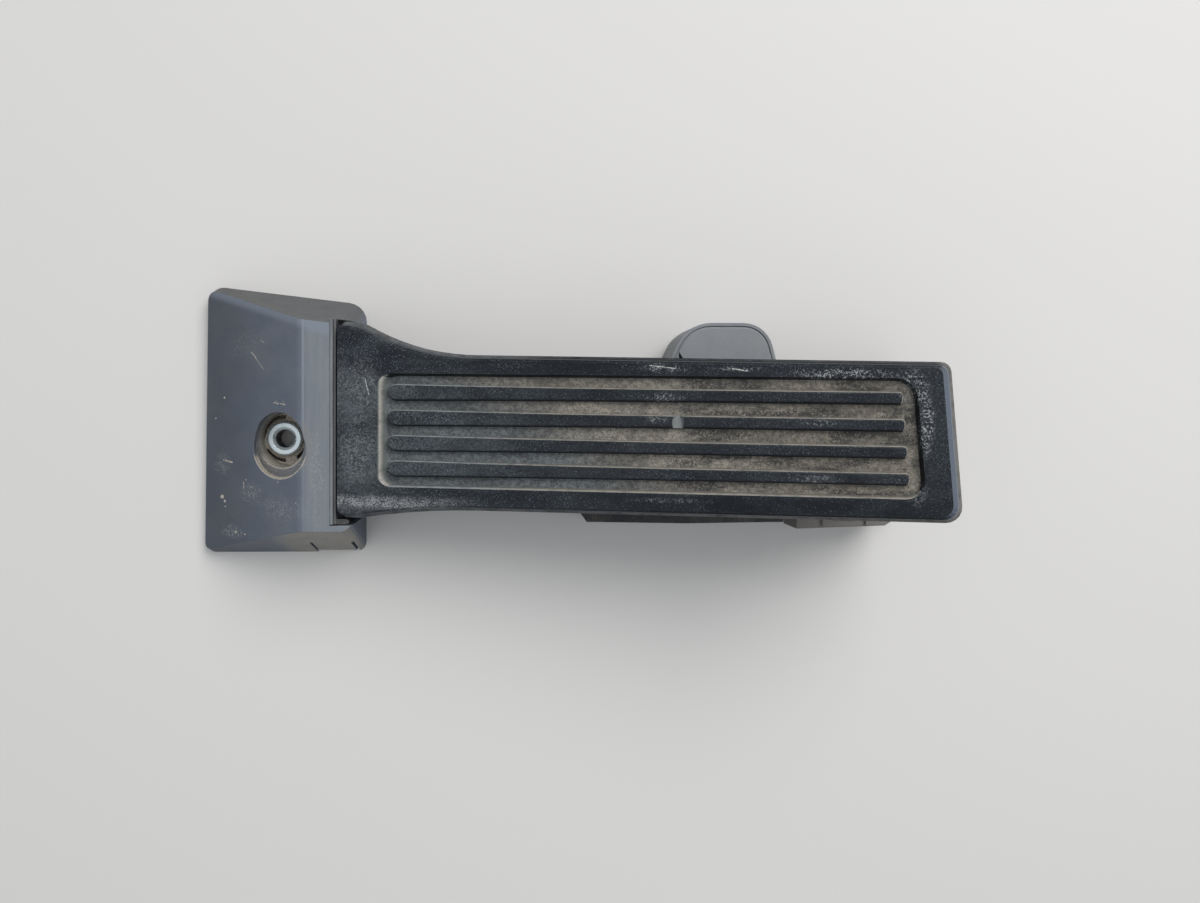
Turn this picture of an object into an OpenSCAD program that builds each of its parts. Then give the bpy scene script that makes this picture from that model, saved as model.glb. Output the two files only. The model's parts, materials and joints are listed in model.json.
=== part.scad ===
// Floor-hinged accelerator pedal module.
// The origin is on the heel bolt axis at the underside, +X runs from heel to toe, +Z is up.
// A long ribbed foot pad is hinged at the heel and pushes a sprung sensor arm below its toe.

/* [Heel] */
// Distance from the bolt axis to the front edge of the heel cover
heel_front = 28.6; // [26:0.2:32]
// Distance from the bolt axis to the rear end of the cheeks
heel_rear = 27.5; // [26:0.1:29]
// Heel width from the bolt axis to the near side
heel_near = 42.4; // [40:0.2:46]
// Heel width from the bolt axis to the far side
heel_far = 52; // [49:0.2:56]
// Height of the heel cover's top strip
heel_height = 31.2; // [30.5:0.1:33]
// Height of the upright front edge
heel_lip = 4; // [3:0.5:8]
// Distance from the bolt axis to the crease of the sloping face
crease_reach = 10.3; // [8:0.1:12]
// Lean of the near side face in degrees
near_lean = 20.5; // [16:0.5:22]
// Lean of the far side face in degrees
far_lean = 18.5; // [15:0.5:20]
// Slant of the far side face along its length in degrees
far_slant = 5.4; // [2:0.2:7]
// Slant of the front edge in degrees
front_slant = 1.4; // [0:0.2:3]
// Wall thickness of the heel cover
cover_wall = 2.4; // [1.8:0.2:3]
// Radius of the heel's front corners
front_corner = 3.8; // [3:0.2:6]
// Radius of the heel's rear corner on the far side
rear_corner = 7; // [4:0.5:9]
// Radius of the bolt well
well_radius = 9.6; // [9:0.1:10]
// Distance from the bolt axis to the centre of the well
well_shift = 2.2; // [1:0.2:3]
// Depth of the crescent ledge beside the mouth of the well
well_ledge = 2.6; // [1.5:0.1:3.5]
// Sideways shift of the crescent ledge from the well
ledge_shift = 2.8; // [2:0.1:3.5]
// Length of the snap latch in the near side
latch_length = 13.4; // [10:0.2:15]
// Distance from the bolt axis to the latch
latch_reach = 11; // [9:0.5:12]
// Width of the slots beside the latch
latch_slot = 1; // [0.6:0.1:1.4]

/* [Bolt sleeve] */
// Radius of the bolt hole
bolt_radius = 3.3; // [2.6:0.1:4.3]
// Outer radius of the sleeve
sleeve_radius = 6.2; // [5.4:0.1:7]
// Length of the sleeve
sleeve_length = 9; // [8.2:0.2:11]
// Width of the chamfer in the sleeve's mouth
sleeve_chamfer = 0.9; // [0.4:0.1:1.2]
// Height of the boss floor round the sleeve
boss_height = 7; // [6:0.2:8]
// Width of the moat slots round the sleeve
moat_width = 1.3; // [0.8:0.1:1.6]

/* [Pad] */
// Height of the hinge axis above the underside
hinge_height = 23.6; // [23.2:0.1:24.4]
// Distance from the bolt axis to the hinge axis
hinge_reach = 26.3; // [25.8:0.1:27]
// Sideways shift of the pad's centre line from the bolt axis
pad_shift = 4.1; // [3.6:0.1:4.6]
// Resting incline of the pad in degrees
rest_angle = 12; // [11:0.25:13]
// Length of the pad from the hinge axis to the toe
pad_length = 200.6; // [192:0.1:206]
// Slant of the toe end in degrees
toe_slant = 6.2; // [0:0.1:8]
// Depth of the pad from the tread face to the rim's lower edge
pad_depth = 11; // [9:0.5:11.5]
// Height of the tread face above the hinge axis
face_height = 9; // [8.6:0.1:9.6]
// Half width at the toe on the far side
toe_far = 24.4; // [23:0.1:27]
// Half width in the middle on the far side
waist_far = 25.5; // [24:0.1:28]
// Half width on the near side
waist_near = 26.7; // [25:0.1:28]
// Radius of the flare on the far side
flare_far = 85; // [70:1:120]
// Radius of the flare on the near side
flare_near = 240; // [160:5:400]
// Length of the flare from the hinge axis
flare_length = 46; // [40:1:52]
// Thickness of the carrier plate
carrier_plate = 2.5; // [2:0.1:3]
// Thickness of the carrier rim
carrier_rim = 2.2; // [1.6:0.1:2.8]
// Thickness of the carrier's stiffening ribs
carrier_rib = 1.6; // [1.2:0.1:2.4]
// Height of the carrier's stiffening ribs
carrier_rib_height = 2.4; // [1:0.1:2.6]
// Spacing of the cross ribs under the carrier
carrier_rib_pitch = 24; // [18:1:36]

/* [Tread] */
// Thickness of the tread
tread_thickness = 4; // [3.6:0.1:4.2]
// Inset of the tread from the carrier's sides
tread_inset = 1.1; // [0.8:0.1:3]
// Inset of the tread from the carrier's toe
tread_toe_inset = 1.7; // [1.2:0.1:5]
// Depth of the recess in the tread
recess_depth = 2.4; // [1.6:0.1:2.6]
// Distance from the hinge axis to the recess
recess_start = 12.6; // [10:0.2:13]
// Length of the recess on the centre line
recess_length = 176; // [160:0.2:177]
// Half width of the recess
recess_half = 18.9; // [17:0.1:20]
// Width of the bevel along the recess
recess_bevel = 0.7; // [0.4:0.1:2]
// Width of the ramp at the recess's heel end
recess_ramp = 2.4; // [0.6:0.1:2.6]
// Length of the faint pad on the recess floor
mark_length = 3.4; // [2:0.2:6]
// Distance from the recess's heel end to the raised ribs
rib_gap = 3.2; // [2.8:0.1:5]
// Distance between the raised ribs
rib_pitch = 8.5; // [7:0.1:8.8]
// Number of raised ribs
rib_count = 4; // [2:1:4]
// Length of the raised ribs on the centre line
rib_length = 168.2; // [150:0.2:169]
// Width of the ribs at the heel end
rib_wide = 5.1; // [4:0.1:5.6]
// Width of the ribs at the toe end
rib_narrow = 3.6; // [2.6:0.1:4.4]
// Height of the ribs above the recess floor
rib_height = 2.3; // [1.2:0.1:2.5]
// Radius of the studs that hold the tread
stud_radius = 2.4; // [1.8:0.1:2.6]

/* [Hinge] */
// Radius of the hinge pin
hinge_pin_radius = 2.5; // [2:0.1:2.9]
// Radius of the hinge knuckles
knuckle_radius = 4.5; // [4.2:0.1:4.6]
// Length of the hinge over its outer lugs
hinge_length = 59; // [57:0.5:60]
// Distance from the pad's centre line to the near end of the hinge
hinge_start = 27.3; // [26.8:0.1:27.8]
// Width of the sealing strip at the hinge
strip_width = 2.1; // [1.6:0.1:2.3]

/* [Housing] */
// Length of the housing from the bolt axis to the toe end wall
housing_length = 232; // [230:1:240]
// Height of the outer walls
wall_height = 14; // [10:0.5:16]
// Thickness of the outer walls
wall = 2.5; // [2:0.1:3]
// Thickness of the housing floor
floor_thickness = 2.4; // [2:0.1:2.6]
// Spacing of the ribs in the underside
pocket_pitch = 18; // [14:1:24]
// Depth of the pockets between the ribs of the underside
pocket_depth = 1; // [0.6:0.1:1.2]
// Half width of the housing at the pad
housing_half = 26.1; // [25:0.1:26.6]
// Inside half width of the spring chamber
chamber_half = 9.6; // [9.4:0.1:10.2]
// Height of the spring chamber walls
chamber_height = 20; // [19.8:0.1:20.6]
// Thickness of the mechanism cover
cover_plate = 2; // [1.4:0.1:2.2]
// Height of the flank pod
flank_height = 15.5; // [12:0.5:17]
// Reach of the flank pod beyond the bolt axis
flank_reach = 29.7; // [27:0.1:31]
// Length of the rear tongues
tongue_length = 8; // [5:0.5:12]
// Thickness of the rear tongues
tongue_thickness = 3; // [2:0.1:4]

/* [Arm] */
// Distance from the bolt axis to the arm pivot
arm_reach = 158; // [157:0.25:159]
// Height of the arm pivot above the underside
arm_height = 15.5; // [15.2:0.1:15.8]
// Distance along the pad from its hinge to where the arm touches at rest
touch_reach = 170; // [168:0.5:172]
// Radius of the shaft
shaft_radius = 3.5; // [3:0.1:3.8]
// Radius of the arm's hub
hub_radius = 6; // [5.6:0.1:6.1]
// Width of the arm
arm_width = 12; // [10:0.5:13]
// Thickness of the arm's flanges
arm_flange = 1.8; // [1.4:0.1:2.4]
// Thickness of the arm's web
arm_web = 3; // [2:0.2:4]
// Radius of the arm's nose under the slider
nose_radius = 3.4; // [3:0.1:3.6]
// Outer radius of the slider on the nose
slider_radius = 5; // [4.8:0.1:5.2]
// Length of the crank below the pivot
crank_length = 10; // [9.6:0.1:10.2]
// Radius of the crank's tip
crank_tip = 2.6; // [2.2:0.1:2.7]
// Resting lean of the crank towards the toe in degrees
crank_lean = 10; // [8:0.5:12]

/* [Springs] */
// Height of the spring axis above the underside
spring_height = 11; // [10.8:0.1:11.3]
// Outer radius of the large spring
large_spring_radius = 7.5; // [7:0.1:7.6]
// Wire diameter of the large spring
large_wire = 1.8; // [1.4:0.1:2]
// Active turns of the large spring
large_turns = 8; // [6:1:10]
// Outer radius of the small spring
small_spring_radius = 4.8; // [4.5:0.1:4.9]
// Wire diameter of the small spring
small_wire = 1.2; // [0.9:0.1:1.3]
// Active turns of the small spring
small_turns = 12; // [9:1:14]
// Length of the fitted springs
spring_length = 55; // [50:0.5:58]
// Length of the friction shoe's body
shoe_length = 7.4; // [6:0.1:7.4]
// Thickness of the friction linings
lining_thickness = 1; // [0.6:0.1:1.4]
// Thickness of the spring retainer
retainer_thickness = 3; // [2:0.1:4]

/* [Sensor] */
// Height of the sensor pod's rim
pod_height = 22.2; // [21.9:0.1:22.4]
// Thickness of the pod's wall
pod_wall = 2; // [1.8:0.1:2.2]
// Width of the pod's rim round the lid
pod_rim = 1.2; // [0.8:0.1:1.4]
// Reach of the pod's far side beyond the bolt axis
pod_reach = 44.3; // [43:0.1:46]
// Thickness of the sensor lid
lid_thickness = 1.8; // [1.4:0.1:1.9]
// Radius of the magnet rotor
rotor_radius = 4.3; // [3.8:0.1:4.4]
// Radius of the magnet
magnet_radius = 3; // [2:0.1:3.2]
// Distance from the magnet to the sensor chip
magnet_gap = 0.5; // [0.3:0.1:0.9]

/* [Connector] */
// Distance from the bolt axis to the connector
plug_start = 187.6; // [186:0.2:189]
// Length of the connector
plug_length = 37; // [35:0.5:38]
// Reach of the connector's mouth beyond the bolt axis
plug_reach = 31.3; // [30:0.1:33]
// Height of the connector's top
plug_top = 18; // [16:0.5:19]
// Wall thickness of the connector
plug_wall = 1.8; // [1.4:0.1:2.2]
// Width and height of the connector's guide ribs
plug_rib = 1.2; // [0.8:0.1:1.6]
// Depth of the socket
plug_depth = 13; // [10:0.5:13.5]
// Number of terminals
terminal_count = 6; // [4:1:6]
// Width of a terminal
terminal_width = 1.2; // [0.8:0.1:1.5]

/* [Hidden] */
$fn = 64;

// General clearances: a part let into another, a running bore, parts that pass each other, and a cutting overlap
seat_gap = 0.15;
bore_gap = 0.05;
pass_gap = 0.3;
cut = 1;

// Heights in the tilted pad frame, measured from the hinge axis
tread_base = face_height - tread_thickness;
rim_edge = face_height - pad_depth;
plate_base = tread_base - carrier_plate;
heel_edge = -1.5;
hinge_end = hinge_length - hinge_start;
lug_spans = [for (s = [[0, 0.1], [0.291, 0.664], [0.89, 1]]) [for (t = s) t * hinge_length - hinge_start]];
knuckle_spans = [for (k = [0, 1]) [lug_spans[k][1] + pass_gap, lug_spans[k + 1][0] - pass_gap]];
lug_clear = knuckle_radius + 0.7;
track_thickness = 3;
track_face = plate_base - track_thickness;
recess_floor = face_height - recess_depth;

// Arm geometry from the touching point under the resting pad
nose_drop = track_face - slider_radius - pass_gap;
nose_x = hinge_reach + touch_reach * cos(rest_angle) - nose_drop * sin(rest_angle);
nose_z = hinge_height + touch_reach * sin(rest_angle) + nose_drop * cos(rest_angle);
arm_length = norm([nose_x - arm_reach, nose_z - arm_height]);
arm_angle = atan2(nose_z - arm_height, nose_x - arm_reach);
pad_travel = 11.5;
track_radius = 50;
track_middle = 177;

// Spring chamber along X, worked back from the crank's tip
shoe_face = arm_reach + crank_length * sin(crank_lean) - crank_tip - pass_gap;
hub_front = arm_reach - hub_radius - pass_gap;
shoe_seat = hub_front - shoe_length;
retainer_face = shoe_seat - spring_length;
retainer_back = retainer_face - retainer_thickness;
chamber_front = retainer_back - 6;
chamber_outer = chamber_half + wall;
bearing_outer = chamber_half + 5.5;
bearing_radius = 8;
bush_radius = shaft_radius + 1.6;
cover_rear = arm_reach - hub_radius - 2;
small_core = small_spring_radius - small_wire - 0.4;
clip_y = pad_shift - bearing_outer - pass_gap;
cover_screw_places = [for (x = [chamber_front + 3, (chamber_front + cover_rear) / 2, cover_rear - 4])
    for (s = [-1, 1]) [x, pad_shift + s * (chamber_half + wall / 2)]];

// Bay of the connector, clear of the shaft's near end
bay_depth = pad_shift - bearing_outer - 2.6 - pass_gap - wall;

// Stop below the pad's toe, and studs that hold the tread
bump_radius = 4.5;
bump_x = hinge_reach + pad_length - carrier_rim / 2 - 0.4;
chamber_rear = bump_x - bump_radius - 0.5;
stud_places = [[30, 0], [66, -16], [66, 16], [112, 0], [156, -18], [156, 18]];

// Pod, board and rotor places along Y
pod_front = pad_shift + bearing_outer - 0.9;
rotor_start = pod_front + pod_wall + 1.8;
rotor_length = 5.5;
chip_thickness = 0.9;
board_thickness = 1.6;
chip_face = rotor_start + rotor_length + magnet_gap;
board_face = chip_face + chip_thickness;

// Outline of the sensor pod moved inward by d
function pod_outline(d) =
    let (x = arm_reach, low = pod_reach - 16.3)
    rounded(inset([[x - 18, pod_front], [x + 16.5, pod_front], [x + 19.8, low], [x + 15.1, pod_reach],
        [x - 14.1, pod_reach - 0.6], [x - 21.3, low]], d), [0, 0, 0, 11 - d, 14 - d, 0], 7);

// Unit vector along v
function unit(v) = v / norm(v);

// Points of a fillet of radius r at corner b between a and c
function corner(a, b, c, r, steps) =
    let (u = unit(a - b), v = unit(c - b), half = acos(u * v) / 2)
    let (m = b + unit(u + v) * r / sin(half), p = b + u * r / tan(half) - m, q = b + v * r / tan(half) - m)
    let (start = atan2(p[1], p[0]), turn = atan2(p[0] * q[1] - p[1] * q[0], p * q))
    [for (k = [0 : steps]) m + r * [cos(start + turn * k / steps), sin(start + turn * k / steps)]];

// Outline with each corner i filleted by radii[i], or left sharp where it is zero
function rounded(pts, radii, steps = 5) = [for (i = [0 : len(pts) - 1])
    each (radii[i] > 0
        ? corner(pts[(i + len(pts) - 1) % len(pts)], pts[i], pts[(i + 1) % len(pts)], radii[i], steps)
        : [pts[i]])];

// Outline moved inward by d, for points that run anticlockwise
function inset(pts, d) = [for (i = [0 : len(pts) - 1])
    let (b = pts[i], u = unit(b - pts[(i + len(pts) - 1) % len(pts)]), v = unit(pts[(i + 1) % len(pts)] - b))
    let (n = [-u[1], u[0]], m = [-v[1], v[0]])
    b + (n + m) * d / (1 + n * m)];

// Half width along the flare, running into the waist
function flare(waist, radius, u) =
    u < flare_length ? waist + radius - sqrt(pow(radius, 2) - pow(flare_length - u, 2)) : waist;

// Pad outline moved inward by side at the sides and by toe at the toe
function pad_outline(side, toe) =
    let (near = waist_near - side, far = waist_far - side, far_toe = toe_far - side)
    let (end = pad_length - toe, skew = tan(toe_slant))
    let (near_corner = [end + skew * near, -near], far_corner = [end - skew * far_toe, far_toe])
    let (near_heel = flare(near, flare_near + side, 5), far_heel = flare(far, flare_far + side, 5) + 0.5)
    concat(
        [[heel_edge, 1 - near_heel], [heel_edge + 1, -near_heel]],
        [for (u = [5 : 8.2 : flare_length]) [u, -flare(near, flare_near + side, u)]],
        corner([flare_length, -near], near_corner, far_corner, 5 - side / 2, 5),
        corner(near_corner, far_corner, [flare_length, far], 3.4 - side / 2, 4),
        [for (u = [flare_length : -4.1 : 5]) [u, flare(far, flare_far + side, u)]],
        [[heel_edge + 1.2, far_heel], [heel_edge + 0.3, far_heel - 0.4], [heel_edge, far_heel - 1.4]]);

// Recess outline grown by g, and by h at the heel end
function recess_outline(g, h) =
    let (w = recess_half + g, skew = tan(toe_slant), a = recess_start - h, b = recess_start + recess_length + g)
    rounded([[a, -w], [b + skew * w, -w], [b - skew * w, w], [a, w]], [4.5, 5.5, 7, 4.5] + g * [1, 1, 1, 1]);

// Half width of a raised rib at a share t of its length
function rib_half(t) = rib_narrow / 2 + (rib_wide - rib_narrow) / 2 * pow(1 - t, 3);

// Rib outline at side offset y, grown by g
function rib_outline(y, g) =
    let (r = rib_wide / 2, a = recess_start + rib_gap, b = a + rib_length - tan(toe_slant) * y)
    let (n = rib_narrow / 2 + g)
    concat(
        [for (k = [0 : 6]) [a + r - (r + g) * sin(k * 30), y + (r + g) * cos(k * 30)]],
        [for (t = [0.15, 0.35, 0.6, 0.85]) [a + r + t * (b - a - r), y - rib_half(t) - g]],
        corner([a, y - n], [b + g, y - n], [b + g, y + n], 1.1, 3),
        corner([b + g, y - n], [b + g, y + n], [a, y + n], 1.1, 3),
        [for (t = [0.85, 0.6, 0.35, 0.15]) [a + r + t * (b - a - r), y + rib_half(t) + g]]);

// Solid through a stack of outlines of equal length, with one height each and end faces fanned from middle
module loft(outlines, heights, middle) {
    n = len(outlines[0]);
    rings = len(outlines);
    points = [for (k = [0 : rings - 1]) for (p = outlines[k]) [p[0], p[1], heights[k]]];
    ends = [[middle[0], middle[1], heights[0]], [middle[0], middle[1], heights[rings - 1]]];
    sides = [for (k = [0 : rings - 2]) for (i = [0 : n - 1])
        [k * n + i, (k + 1) * n + i, (k + 1) * n + (i + 1) % n, k * n + (i + 1) % n]];
    bottom = [for (i = [0 : n - 1]) [i, (i + 1) % n, rings * n]];
    top = [for (i = [0 : n - 1]) [(rings - 1) * n + (i + 1) % n, (rings - 1) * n + i, rings * n + 1]];
    polyhedron(concat(points, ends), concat(bottom, top, sides));
}

// Plain plate of an outline between two heights
module plate(outline, low, high) {
    translate([0, 0, low]) linear_extrude(high - low) polygon(outline);
}

// Block from one corner to the opposite one
module block(low, high) {
    translate(low) cube(high - low);
}

// Cylinder along Y between two side positions
module rod_y(r, x, z, y1, y2) {
    translate([x, y2, z]) rotate([90, 0, 0]) cylinder(h = y2 - y1, r = r);
}

// Cylinder along X between two positions
module rod_x(r, y, z, x1, x2) {
    translate([x1, y, z]) rotate([0, 90, 0]) cylinder(h = x2 - x1, r = r);
}

// Cylinder along Z between two heights
module rod_z(r, x, y, z1, z2) {
    translate([x, y, z1]) cylinder(h = z2 - z1, r = r);
}

// Round-wire compression spring along X with a closed turn at each end
module coil(radius, wire, turns, length, steps) {
    sides = 6;
    total = turns + 2;
    mean = radius - wire / 2;
    pitch = (length - wire - 2.1 * wire) / turns;
    count = total * steps;
    dead = 1.05 * wire;
    along = function (t) t < 1 ? dead * t : (t > total - 1 ? length - wire - dead * (total - t)
        : dead + pitch * (t - 1));
    points = [for (i = [0 : count]) let (t = i / steps, a = 360 * t)
        for (k = [0 : sides - 1]) let (b = 360 * k / sides, r = mean + wire / 2 * cos(b))
            [wire / 2 + along(t) + wire / 2 * sin(b), r * cos(a), r * sin(a)]];
    skin = [for (i = [0 : count - 1]) for (k = [0 : sides - 1])
        [i * sides + k, (i + 1) * sides + k, (i + 1) * sides + (k + 1) % sides, i * sides + (k + 1) % sides]];
    ends = [[for (k = [0 : sides - 1]) k], [for (k = [sides - 1 : -1 : 0]) count * sides + k]];
    polyhedron(points, concat(skin, ends));
}

// Everything of the pad is drawn flat from the hinge axis and then tilted to its resting incline
module on_pad() {
    translate([hinge_reach, pad_shift, hinge_height]) rotate([0, -rest_angle, 0]) children();
}

// Everything of the arm is drawn along X from the pivot and then turned to its resting angle
module on_arm() {
    translate([arm_reach, pad_shift, arm_height]) rotate([0, -arm_angle, 0]) children();
}

// Plan of the heel at height z with all faces moved inward by d
function heel_plan(d, z) =
    let (near = d + z * tan(near_lean) - heel_near, far = heel_far - d - z * tan(far_lean))
    let (front = d - heel_front, rear = heel_rear - d, skew = tan(front_slant), slant = tan(far_slant))
    rounded([[front + skew * near, near], [rear, near], [rear, far / cos(far_slant) - rear * slant],
        [front + skew * far, far / cos(far_slant) - front * slant]],
        [for (r = [front_corner - 1, front_corner, rear_corner, front_corner]) max(r - d, 0.5)]);

// Wedge form of the heel with all faces moved inward by d
module heel_form(d) {
    top = heel_height - d;
    slope = unit([crease_reach + heel_front, heel_height - heel_lip]);
    shift = d * (1 - slope[0]) / slope[1];
    profile = rounded([[d - heel_front - 2, 0], [heel_rear, 0], [heel_rear, top], [crease_reach + shift, top],
        [d - heel_front, heel_lip - d * 0.3], [d - heel_front - 2, heel_lip - 1.6 - d * 0.3]], [0, 0, 0, 5, 4, 0]);
    intersection() {
        translate([0, heel_far + heel_near, 0]) rotate([90, 0, 0]) linear_extrude(2 * (heel_far + heel_near))
            polygon(profile);
        loft([heel_plan(d, 0), heel_plan(d, heel_height + cut)], [0, heel_height + cut], [0, 0]);
    }
}

// Room behind the heel's top strip for the pad and its hinge, grown by g
notch_front = hinge_reach - 6.1;
notch_near = pad_shift - hinge_start - 5.4;
notch_far = pad_shift + hinge_end + 5.7;
module pad_notch(g) {
    block([notch_front - g, notch_near - g, -cut], [heel_rear + cut, notch_far + g, heel_height + cut]);
}

module base_housing() {
    near = pad_shift - housing_half;
    far = pad_shift + housing_half;
    bay_start = plug_start - 1;
    bay_end = plug_start + plug_length + 1;
    flank_start = arm_reach - 54;
    flank = [[flank_start, near], [flank_start + 5, 0.5 - flank_reach], [arm_reach - 11, -flank_reach],
        [bay_start - 3.4, 0.6 - flank_reach], [bay_start - 2.6, near]];
    tray_front = hinge_reach + 6.5;
    flank_pocket = inset([[flank_start, near + wall], flank[1], flank[2], flank[3], [bay_start - 2.6, near + wall]],
        wall);
    walls = concat([[tray_front, near]], flank, [[bay_start, near], [bay_start, bay_depth], [bay_end, bay_depth],
        [bay_end, near], [housing_length, near], [housing_length, far], [tray_front, far]]);
    heel_plate = [[4 + cover_wall - heel_front, cover_wall + 2.6 - heel_near],
        [heel_rear + 6.5, cover_wall + 2.6 - heel_near], [heel_rear + 6.5, heel_far - cover_wall - 6.5],
        [6 + cover_wall - heel_front, heel_far - cover_wall - 3]];
    color([0.27, 0.29, 0.32]) difference() {
        union() {
            difference() {
                union() {
                    // Heel plate under the cover
                    intersection() {
                        plate(heel_plate, 0, floor_thickness);
                        block([-heel_front, -heel_near, 0], [heel_rear - cover_wall - 1, heel_far, floor_thickness]);
                    }
                    // Tray floor
                    block([hinge_reach - 8, near, 0], [housing_length, far, floor_thickness]);
                    plate(flank, 0, floor_thickness);
                    block([bay_start, -plug_reach + 3, 0], [bay_end, near + cut, floor_thickness]);
                    // Outer walls, higher round the flank pod
                    difference() {
                        plate(walls, 0, wall_height);
                        plate(inset(walls, wall), floor_thickness, wall_height + cut);
                    }
                    plate(concat(flank, [[bay_start - 2.6, near + wall], [flank_start, near + wall]]), 0, flank_height);
                    // Spring chamber and arm trough
                    block([chamber_front, pad_shift - chamber_outer, 0],
                        [arm_reach - bearing_radius, pad_shift + chamber_outer, chamber_height]);
                    block([arm_reach - bearing_radius, pad_shift - chamber_outer, 0],
                        [chamber_rear, pad_shift + chamber_outer, wall_height + 2]);
                    // Bearing blocks
                    block([arm_reach - bearing_radius, pad_shift - bearing_outer, 0],
                        [arm_reach + bearing_radius, pad_shift + bearing_outer, arm_height]);
                    rod_y(bearing_radius - 1, arm_reach, arm_height, pad_shift - bearing_outer,
                        pad_shift + bearing_outer);
                    // Ribs from the chamber to the outer walls and to the heel
                    for (x = [tray_front + 21.2, chamber_front, flank_start, arm_reach - 28])
                        block([x, near + cut, 0], [x + carrier_rib, far - cut, wall_height - 2]);
                    for (y = [-chamber_half, chamber_half - carrier_rib])
                        block([tray_front + cut, pad_shift + y, 0],
                            [chamber_front + cut, pad_shift + y + carrier_rib, wall_height - 2]);
                    block([chamber_rear - 34, pad_shift + chamber_half, 0],
                        [chamber_rear - 34 + carrier_rib, far - cut, wall_height - 2]);
                    block([chamber_rear - cut, pad_shift - 8, 0],
                        [housing_length - cut, pad_shift - 8 + carrier_rib, wall_height - 2]);
                    block([chamber_rear - cut, pad_shift + 8 - carrier_rib, 0],
                        [housing_length - cut, pad_shift + 8, wall_height - 2]);
                    // Sensor pod
                    plate(pod_outline(0), 0, pod_height);
                }
                // Inside of the flank pod, open below
                plate(flank_pocket, -cut, flank_height - wall);
                // Inside of the chamber and the trough
                block([chamber_front + wall, pad_shift - chamber_half, floor_thickness],
                    [chamber_rear - wall, pad_shift + chamber_half, pod_height + cut]);
                // Grooves for the spring retainer
                block([retainer_back - seat_gap, pad_shift - chamber_half - 1.6, floor_thickness],
                    [retainer_face + seat_gap, pad_shift + chamber_half + 1.6, chamber_height + cut]);
                // Inside of the pod with the ledge for its lid
                plate(pod_outline(pod_wall + 1.5), floor_thickness, pod_height + cut);
                plate(pod_outline(pod_rim), pod_height - lid_thickness - pass_gap, pod_height + cut);
            }
            // Hinge lugs
            for (s = lug_spans) translate([0, pad_shift, 0]) {
                block([hinge_reach - knuckle_radius, s[0], 0], [hinge_reach + knuckle_radius, s[1], hinge_height]);
                rod_y(knuckle_radius, hinge_reach, hinge_height, s[0], s[1]);
            }
            // Boss round the bolt sleeve
            translate([well_shift, 0, 0]) cylinder(h = boss_height, r = well_radius + 1.6);
            // Wall that the crank rests against
            block([arm_reach + crank_length * sin(crank_lean) + crank_tip + pass_gap, pad_shift - chamber_half, 0],
                [arm_reach + crank_length * sin(crank_lean) + crank_tip + 2.6, pad_shift + chamber_half, 8]);
            // Post for the bump stop
            translate([bump_x, pad_shift, 0]) cylinder(h = wall_height, r = bump_radius + 1);
            // Tongues that slide under a clip at the toe end
            for (y = [-16, 12])
                block([housing_length - cut, pad_shift + y, 0],
                    [housing_length + tongue_length, pad_shift + y + 10, tongue_thickness]);
        }
        // Pockets in the underside between a grid of ribs
        for (x = [tray_front + 6 : pocket_pitch : chamber_rear - pocket_pitch])
            for (y = [near + 3, pad_shift - 7, pad_shift + 9.4])
                block([x, y, -cut], [x + pocket_pitch - 3, y + 13.4, pocket_depth]);
        // Bolt sleeve hole and the moat slots round it
        translate([0, 0, -cut]) cylinder(h = boss_height + 2 * cut, r = sleeve_radius + bore_gap / 2);
        difference() {
            translate([0, 0, floor_thickness]) cylinder(h = boss_height, r = sleeve_radius + 1 + moat_width);
            translate([0, 0, floor_thickness - cut]) cylinder(h = boss_height + 3, r = sleeve_radius + 1);
            for (a = [75, 195, 285]) rotate([0, 0, a]) block([0, -2, 0], [12, 2, boss_height + cut]);
        }
        // Bores of the hinge, of the bearing bushes and of the bump stop's stem
        rod_y(hinge_pin_radius + bore_gap, hinge_reach, hinge_height, pad_shift - hinge_start - 0.8,
            pad_shift + hinge_end + 0.2);
        rod_y(bush_radius + bore_gap / 2, arm_reach, arm_height, pad_shift - bearing_outer - cut, rotor_start);
        translate([bump_x, pad_shift, wall_height - 5]) cylinder(h = 5 + cut, r = 2.5);
        // Screw holes of the mechanism cover
        for (p = cover_screw_places) translate([p[0], p[1], chamber_height - 8]) cylinder(h = 8 + cut, r = 1.3);
    }
}

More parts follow.
